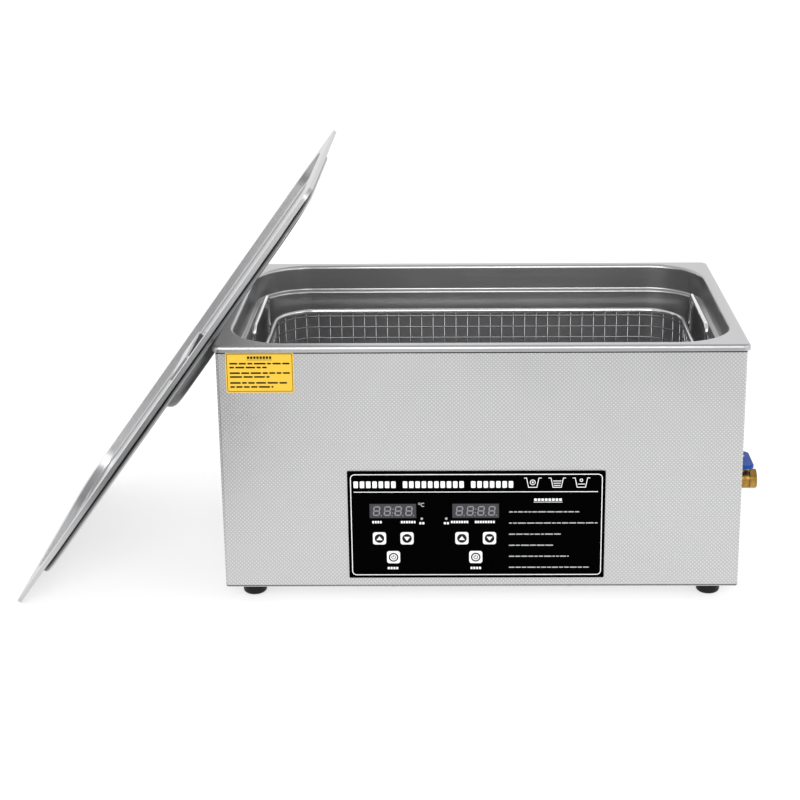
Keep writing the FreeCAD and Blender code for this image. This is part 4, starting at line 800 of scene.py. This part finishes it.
class Print(Shell):
    """Thin flat shapes on an upright face; u runs to the reader's right from its middle and v up."""

    def __init__(self, middle, facing=-1):
        super().__init__()
        self.middle = middle
        self.facing = facing

    def at(self, x, z):
        """The u and v, on a front face, of a place in the row's frame."""
        return x - self.middle.x, z - self.middle.z

    def point(self, u, v, level):
        return (self.middle.x - self.facing * u, self.middle.y + self.facing * level, self.middle.z + v)

    def prism(self, outline):
        """A filled outline."""
        count = len(outline)
        vertices = [self.point(u, v, level) for level in (-INK_ROOT, INK) for u, v in outline]
        faces = [tuple(range(count))[::-1], tuple(range(count, 2 * count))]
        faces += [(a, (a + 1) % count, (a + 1) % count + count, a + count) for a in range(count)]
        self.add(vertices, faces)

    def band(self, inner, outer, closed=True):
        """The strip between two lines that have as many points."""
        count = len(inner)
        rings = [(line, level) for level in (-INK_ROOT, INK) for line in (inner, outer)]
        vertices = [self.point(u, v, level) for line, level in rings for u, v in line]
        low_in, low_out, high_in, high_out = (number * count for number in range(4))
        faces = []
        for a in range(count if closed else count - 1):
            b = (a + 1) % count
            faces.append((high_in + a, high_out + a, high_out + b, high_in + b))
            faces.append((low_in + b, low_out + b, low_out + a, low_in + a))
            faces.append((low_out + a, low_out + b, high_out + b, high_out + a))
            faces.append((low_in + b, low_in + a, high_in + a, high_in + b))
        if not closed:
            for a in (0, count - 1):
                faces.append((low_in + a, low_out + a, high_out + a, high_in + a))
        self.add(vertices, faces)

    def bar(self, u, v, long, tall, corner=0.0):
        self.prism(rectangle(u, v, long, tall, corner))

    def blocks(self, u, v, count, pitch, long, tall, corner=0.3 * MM):
        """A row of upright blocks, centred on u, that stands for a word in capitals."""
        for number in range(count):
            self.bar(u + (number - (count - 1) / 2) * pitch, v, long, tall, corner)

    def border(self, long, tall, corner, width):
        """A rounded rectangle drawn as a line of that width."""
        outer = rectangle(0, 0, long, tall, corner)
        inner = rectangle(0, 0, long - 2 * width, tall - 2 * width, corner - width)
        self.band(inner, outer)

    def disc(self, u, v, radius):
        self.prism(arc(u, v, radius, 0, 360))

    def ring(self, u, v, outer, inner, start=0, sweep=360):
        closed = sweep == 360
        self.band(arc(u, v, inner, start, sweep), arc(u, v, outer, start, sweep), closed)

    def line(self, points, width):
        """A mitred line through the points."""
        points = [Vector(point) for point in points]
        edges = ([], [])
        for index, point in enumerate(points):
            steps = []
            if index:
                steps.append((point - points[index - 1]).normalized())
            if index < len(points) - 1:
                steps.append((points[index + 1] - point).normalized())
            along = sum(steps, Vector((0, 0))).normalized()
            mitre = max(LEAST_MITRE, along.dot(steps[0]))
            across = Vector((-along.y, along.x)) * (width / 2 / mitre)
            edges[0].append(tuple(point - across))
            edges[1].append(tuple(point + across))
        self.band(*edges, closed=False)

    def words(self, start, end, v, tall, chance):
        """A row of short bars that stands for a line of small type."""
        u = start
        while u < end:
            long = min(chance.uniform(*WORD_LENGTHS) * tall, end - u)
            if long > LEAST_WORD * tall:
                self.bar(u + long / 2, v, long, tall, tall * WORD_CORNER)
            u += long + WORD_SPACE * tall


def rectangle(u, v, long, tall, corner=0.0):
    """The outline of a rectangle with rounded corners."""
    half_u, half_v = long / 2 - corner, tall / 2 - corner
    outline = []
    for quarter, (side_u, side_v) in enumerate(QUARTERS):
        steps = 5 if corner else 1
        for step in range(steps):
            angle = math.pi / 2 * (quarter + (step / (steps - 1) if corner else 0))
            outline.append((
                u + side_u * half_u + corner * math.cos(angle),
                v + side_v * half_v + corner * math.sin(angle),
            ))
    return outline


def arc(u, v, radius, start, sweep, steps=32):
    """Points round a circle; the last isn't repeated on a whole turn."""
    count = steps if sweep == 360 else steps + 1
    angles = [math.radians(start + sweep * step / steps) for step in range(count)]
    return [(u + radius * math.cos(angle), v + radius * math.sin(angle)) for angle in angles]


def face_of(node, facing=-1):
    """The middle of a CAD part's front face, or of its back face where facing is 1, and the part's size."""
    low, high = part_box(node)
    middle = (low + high) / 2
    middle.y = low.y if facing < 0 else high.y
    return middle, high - low


# The control panel's print, at the row's own x and z

PANEL_MARGIN = 3 * MM
PRINT_LEFT = -128.5 * MM
PRINT_RULE = 0.7 * MM

TITLE_RIGHT = 33.9 * MM
TITLE_HIGH = 131.2 * MM
TITLE_WORDS = (7, 10, 7)

BASINS = {"ring": 51.7 * MM, "levels": 76.2 * MM, "low_level": 100.5 * MM}
BASIN_HIGH = 133.0 * MM

RULE_RIGHT = 117.3 * MM
RULE_HIGH = 123.2 * MM

HEADING = (67.2 * MM, 114.6 * MM)

# the middle and the number of letters of each word under the displays
DISPLAY_WORDS = ((-105.6 * MM, 4), (-74.0 * MM, 6), (-22.0 * MM, 7), (3.5 * MM, 8))
DISPLAY_WORDS_HIGH = 90.5 * MM
START_WORDS = (-90.2 * MM, -5.7 * MM)
START_WORDS_HIGH = 39.8 * MM
LAMP_WORDS = (-60.2 * MM, -35.4 * MM)
LAMP_WORDS_HIGH = 89.2 * MM

TEXT_LEFT = 28.0 * MM
TEXT_TOP = 101.4 * MM
TEXT_BOTTOM = 40.5 * MM
TEXT_RIGHTS = (100 * MM, 118.5 * MM, 80.5 * MM, 73 * MM, 89 * MM, 109.5 * MM)
TEXT_TALL = 1.15 * MM

LAMP_RADIUS = 1.5 * MM
DEGREE_SIGN = (-62.5 * MM, 110.5 * MM)


def print_title(sheet):
    """Three words of the title as rows of upright blocks."""
    left, v = sheet.at(PRINT_LEFT, TITLE_HIGH)
    right, _ = sheet.at(TITLE_RIGHT, TITLE_HIGH)
    tall, pitch, wide, gap = 7.2 * MM, 6.05 * MM, 4.3 * MM, 5.2 * MM
    scale = (right - left) / (sum(TITLE_WORDS) * pitch + gap * (len(TITLE_WORDS) - 1))
    u = left
    for count in TITLE_WORDS:
        for _ in range(count):
            sheet.bar(u + wide * scale / 2, v, wide * scale, tall, 0.8 * MM)
            u += pitch * scale
        u += gap * scale


def print_basin(sheet, u, v, fill):
    """A small basin: its walls, its lip and three levels, a low level under a ring, or a ring round a dot."""
    half_top, half_low, tall = 6.2 * MM, 4.2 * MM, 5.0 * MM
    lip = half_top + 2.6 * MM
    right_half = [(half_low, -tall), (half_top, tall), (lip, tall)]
    outline = [(-x, y) for x, y in right_half[::-1]] + right_half
    sheet.line([(u + x, v + y) for x, y in outline], PRINT_RULE)
    if fill == "levels":
        for number in range(3):
            sheet.bar(u, v + (1.8 - 2.4 * number) * MM, (8.4 - 0.9 * number) * MM, PRINT_RULE)
    elif fill == "low_level":
        sheet.bar(u, v - 1.6 * MM, 7.2 * MM, PRINT_RULE)
        sheet.ring(u, v + 2.6 * MM, 1.7 * MM, 1.0 * MM)
    else:
        sheet.ring(u, v + 0.4 * MM, 2.9 * MM, 2.2 * MM)
        sheet.disc(u, v + 0.4 * MM, 0.9 * MM)


def print_rules(sheet, size):
    """The border, the rule under the title and the text's underlined heading."""
    sheet.border(size.x - 2 * PANEL_MARGIN, size.z - 2 * PANEL_MARGIN, corner=4.5 * MM, width=0.8 * MM)
    start, v = sheet.at(PRINT_LEFT, RULE_HIGH)
    end, _ = sheet.at(RULE_RIGHT, RULE_HIGH)
    sheet.bar((start + end) / 2, v, end - start, PRINT_RULE)
    u, v = sheet.at(*HEADING)
    sheet.blocks(u, v, 8, pitch=3.6 * MM, long=2.6 * MM, tall=2.6 * MM, corner=0.4 * MM)
    sheet.bar(u, v - 2.6 * MM, 29 * MM, 0.5 * MM)


def print_small_words(sheet):
    """The words under the displays, under the start keys and at the lamps."""
    for x, letters in DISPLAY_WORDS:
        u, v = sheet.at(x, DISPLAY_WORDS_HIGH)
        sheet.blocks(u, v, letters, pitch=2.6 * MM, long=1.8 * MM, tall=2.5 * MM)
    for x in START_WORDS:
        u, v = sheet.at(x, START_WORDS_HIGH)
        sheet.blocks(u, v, 4, pitch=2.9 * MM, long=2.0 * MM, tall=2.5 * MM)
    for x in LAMP_WORDS:
        u, v = sheet.at(x, LAMP_WORDS_HIGH)
        sheet.blocks(u, v, 2, pitch=3.0 * MM, long=2.1 * MM, tall=2.3 * MM)


def print_text(sheet):
    """Six lines of small type that end raggedly."""
    chance = random.Random(4)
    left, top = sheet.at(TEXT_LEFT, TEXT_TOP)
    _, bottom = sheet.at(TEXT_LEFT, TEXT_BOTTOM)
    for number, x in enumerate(TEXT_RIGHTS):
        right, _ = sheet.at(x, TEXT_TOP)
        v = top + (bottom - top) * number / (len(TEXT_RIGHTS) - 1)
        sheet.words(left, right, v, TEXT_TALL, chance)


def print_lamp_spots(sheet):
    """A dim spot at each status lamp."""
    low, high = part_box("status_lamps")
    for x in (low.x + LAMP_RADIUS, high.x - LAMP_RADIUS):
        u, v = sheet.at(x, (low.z + high.z) / 2)
        sheet.disc(u, v, 1.25 * MM)


def print_panel():
    """The white print and the dimmer small print on the control panel."""
    middle, size = face_of("control_panel")
    white = Print(middle)
    print_rules(white, size)
    print_title(white)
    for fill, x in BASINS.items():
        print_basin(white, *white.at(x, BASIN_HIGH), fill)
    print_small_words(white)
    white.piece("panel_print", ink("white_ink", WHITE_PRINT), "cabinet")

    grey = Print(middle)
    print_text(grey)
    print_lamp_spots(grey)
    u, v = grey.at(*DEGREE_SIGN)
    grey.ring(u, v, 1.2 * MM, 0.7 * MM)
    grey.ring(u + 3.6 * MM, v - 1.2 * MM, 2.2 * MM, 1.5 * MM, start=50, sweep=260)
    grey.piece("panel_small_print", ink("grey_ink", DIM_PRINT), "cabinet")


# The displays' digits, with each bar's ends in half widths and half heights of a digit

SEGMENTS = {
    "top": ((-1, 1), (1, 1)),
    "upper_left": ((-1, 1), (-1, 0)),
    "upper_right": ((1, 1), (1, 0)),
    "middle": ((-1, 0), (1, 0)),
    "lower_left": ((-1, 0), (-1, -1)),
    "lower_right": ((1, 0), (1, -1)),
    "bottom": ((-1, -1), (1, -1)),
}
DISPLAY_LONG = 47 * MM
DIGIT_PITCH = 10.9 * MM
DIGIT_HALF_WIDE = 2.9 * MM
DIGIT_HALF_TALL = 4.6 * MM
DIGIT_THICK = 1.25 * MM
DIGIT_SLANT = 0.1
BAR_INSET = 0.65 * DIGIT_THICK
POINT_RADIUS = 0.6 * MM
POINT_PLACE = (4.6 * MM, -5.0 * MM)
COLON_RISE = 2.0 * MM


def print_segment(sheet, u, v, ends):
    """One six-sided bar of a seven-segment digit."""
    start, end = (Vector((x * DIGIT_HALF_WIDE, y * DIGIT_HALF_TALL)) for x, y in ends)
    along = (end - start).normalized()
    across = Vector((-along.y, along.x)) * DIGIT_THICK / 2
    start, end = start + along * BAR_INSET, end - along * BAR_INSET
    point = along * DIGIT_THICK / 2
    outline = [start - point, start - across, end - across, end + point, end + across, start + across]
    sheet.prism([(u + corner.x + corner.y * DIGIT_SLANT, v + corner.y) for corner in outline])


def print_digits():
    """Four unlit digits with their points, and a colon, on each of the two displays."""
    low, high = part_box("display_modules")
    middle, _ = face_of("display_modules")
    sheet = Print(middle)
    for edge, side in ((low.x, 1), (high.x, -1)):
        centre = edge + side * DISPLAY_LONG / 2 - middle.x
        for number in range(4):
            u = centre + (number - 1.5) * DIGIT_PITCH
            for ends in SEGMENTS.values():
                print_segment(sheet, u, 0, ends)
            sheet.disc(u + POINT_PLACE[0], POINT_PLACE[1], POINT_RADIUS)
        for rise in (-COLON_RISE, COLON_RISE):
            sheet.disc(centre + rise * DIGIT_SLANT, rise, POINT_RADIUS)
    sheet.piece("display_digits", ink("unlit_segment", DIGIT_PRINT), "cabinet")


# The keys: 1 has an arrow up, -1 an arrow down and 0 a start mark

KEY_ARROWS = {
    "temperature_up": 1,
    "temperature_down": -1,
    "time_up": 1,
    "time_down": -1,
    "heater": 0,
    "timer": 0,
}
KEY_MARK_RADIUS = 4.9 * MM


def print_arrow_key(name, middle, body, arrow, dark, pale):
    """A dark disc with a pale arrow on it."""
    disc = Print(middle)
    disc.disc(0, 0, KEY_MARK_RADIUS)
    disc.piece(f"{name}_key_disc", dark, body)
    mark = Print(middle - Vector((0, INK, 0)))
    tip, base, half = 2.5 * MM * arrow, -1.7 * MM * arrow, 3.0 * MM * arrow
    mark.prism([(0, tip), (-half, base), (half, base)])
    mark.piece(f"{name}_key_arrow", pale, body)


def print_start_key(name, middle, body, dark):
    """A dark ring with an open ring and an upright bar in it."""
    ring = Print(middle)
    ring.ring(0, 0, KEY_MARK_RADIUS, 3.5 * MM)
    ring.ring(0, 0, 2.3 * MM, 1.5 * MM, start=120, sweep=300)
    ring.bar(0, 1.5 * MM, 0.8 * MM, 2.2 * MM)
    ring.piece(f"{name}_key_ring", dark, body)


def print_keys():
    """Each key's mark, which moves with the key."""
    dark, pale = ink("key_black_ink", BLACK_PRINT), ink("key_white_ink", WHITE_PRINT)
    for name, arrow in KEY_ARROWS.items():
        body = bpy.data.objects[f"{name}_key"]["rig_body"]
        middle, _ = face_of(f"{name}_key")
        if arrow:
            print_arrow_key(name, middle, body, arrow, dark, pale)
        else:
            print_start_key(name, middle, body, dark)


# The labels

# the caution label's lines: how far each is below the label's top, and its share of the label's width
CAUTION_LINES = (
    (11.4 * MM, 1.0),
    (15.4 * MM, 0.62),
    (21.2 * MM, 1.0),
    (25.2 * MM, 0.66),
    (31.4 * MM, 0.97),
    (35.6 * MM, 0.72),
)


def print_caution_label():
    """A thin border, an underlined heading and lines of small bars on the yellow label."""
    middle, size = face_of("caution_label")
    sheet = Print(middle)
    chance = random.Random(9)
    top = size.z / 2
    sheet.border(size.x - 2.4 * MM, size.z - 2.4 * MM, corner=1.6 * MM, width=0.5 * MM)
    sheet.blocks(0, top - 5.2 * MM, 8, pitch=3.1 * MM, long=2.3 * MM, tall=2.5 * MM)
    sheet.bar(0, top - 7.6 * MM, 25 * MM, 0.4 * MM)
    left, right = -size.x / 2 + 4 * MM, size.x / 2 - 4 * MM
    for drop, share in CAUTION_LINES:
        sheet.words(left, left + (right - left) * share, top - drop, 1.7 * MM, chance)
    sheet.piece("caution_label_print", ink("label_black_ink", BLACK_PRINT), "cabinet")


def print_rating_plate():
    """A thin border and four lines of small bars in two columns on the silver plate at the back."""
    middle, size = face_of("rating_plate", facing=1)
    sheet = Print(middle, facing=1)
    chance = random.Random(12)
    sheet.border(size.x - 3 * MM, size.z - 3 * MM, corner=1.6 * MM, width=0.5 * MM)
    for number in range(4):
        v = size.z / 2 - (8 + 8 * number) * MM
        sheet.words(-size.x / 2 + 5 * MM, -3 * MM, v, 1.8 * MM, chance)
        sheet.words(3 * MM, size.x / 2 - 5 * MM, v, 1.8 * MM, chance)
    sheet.piece("rating_plate_print", bpy.data.materials["label_black_ink"], "cabinet")


# The stage


def table_white():
    """The table, lit from below, a little uneven."""
    surface = Surface(
        "table_white", Roughness=0.8, Emission_Color=(1, 1, 1, 1), Emission_Strength=FLOOR_GLOW
    )
    clouds = surface.noise(surface.place, scale=3.0, detail=3, roughness=0.5)
    surface.feed("Base Color", surface.mix(clouds, (0.49, 0.49, 0.49), (0.51, 0.51, 0.51)))
    return surface.material


def add_flat(name, low, high, height, material):
    """A flat rectangle of the stage between two corners."""
    corners = [(low[0], low[1]), (high[0], low[1]), (high[0], high[1]), (low[0], high[1])]
    mesh = bpy.data.meshes.new(name)
    mesh.from_pydata([(x, y, height) for x, y in corners], [], [(0, 1, 2, 3)])
    mesh.materials.append(material)
    flat = bpy.data.objects.new(name, mesh)
    bpy.context.scene.collection.objects.link(flat)
    return flat


def add_dark_card(name, low, high):
    """A dark card lying in front of the object that only reflections see."""
    felt = plastic(f"{name}_felt", tone=(0.01, 0.01, 0.01), roughness=0.9, Specular_IOR_Level=0.0)
    card = add_flat(name, low, high, CARD_HEIGHT, felt)
    card.visible_camera = card.visible_diffuse = card.visible_shadow = False


def make_sky():
    """A soft white studio sky, darker overhead."""
    world = bpy.data.worlds.new("studio")
    bpy.context.scene.world = world
    world.use_nodes = True
    nodes, links = world.node_tree.nodes, world.node_tree.links
    height = nodes.new("ShaderNodeSeparateXYZ")
    links.new(nodes.new("ShaderNodeTexCoord").outputs["Generated"], height.inputs[0])
    ramp = nodes.new("ShaderNodeValToRGB")
    links.new(height.outputs["Z"], ramp.inputs[0])
    horizon, overhead = ramp.color_ramp.elements
    horizon.position, horizon.color = 0.0, (1, 1, 1, 1)
    overhead.position, overhead.color = 0.9, (0.55, 0.55, 0.56, 1)
    links.new(ramp.outputs[0], nodes["Background"].inputs["Color"])
    nodes["Background"].inputs["Strength"].default_value = SKY_STRENGTH


def add_area_light(name, place, width, height, power):
    """A large soft light that points at the object."""
    light = bpy.data.lights.new(name, "AREA")
    light.shape = "RECTANGLE"
    light.size, light.size_y = width, height
    light.energy = power
    lamp = bpy.data.objects.new(name, light)
    lamp.location = place
    lamp.rotation_euler = (LIGHTS_AIM - Vector(place)).to_track_quat("-Z", "Y").to_euler()
    bpy.context.scene.collection.objects.link(lamp)


def make_stage():
    """A white table, dark cards in front, a studio sky and three lights."""
    add_flat("floor", (-FLOOR_HALF, -FLOOR_HALF), (FLOOR_HALF, FLOOR_HALF), 0, table_white())
    add_dark_card("lid_card", low=(-1.1, -1.95), high=(-0.34, -0.40))
    add_dark_card("rim_card", low=(-0.15, -1.60), high=(0.95, -0.95))
    make_sky()
    add_area_light("front_light", (-0.5, -3.2, 1.9), width=2.4, height=1.4, power=58)
    add_area_light("fill_light", (2.2, -1.6, 1.5), width=1.4, height=1.4, power=7)
    add_area_light("back_light", (0.2, 2.2, 1.9), width=2.4, height=0.8, power=4)


def make_camera():
    """A long lens in front of the object and a little above it, with a small roll."""
    camera = bpy.data.cameras.new("camera")
    camera.lens = CAMERA_LENS
    camera.shift_x, camera.shift_y = CAMERA_SHIFT
    holder = bpy.data.objects.new("camera", camera)
    holder.location = CAMERA_PLACE
    turns = ((CAMERA_YAW, "Z"), (90 + CAMERA_PITCH, "X"), (CAMERA_ROLL, "Z"))
    yaw, pitch, roll = (Matrix.Rotation(math.radians(angle), 3, axis) for angle, axis in turns)
    holder.rotation_euler = (yaw @ pitch @ roll).to_euler()
    bpy.context.scene.collection.objects.link(holder)
    bpy.context.scene.camera = holder


dress_cad_parts()
make_basket()
make_basket_handles()
make_basket_feet()
print_panel()
print_digits()
print_keys()
print_caution_label()
print_rating_plate()
make_stage()
make_camera()
bpy.context.scene.view_settings.view_transform = "Standard"
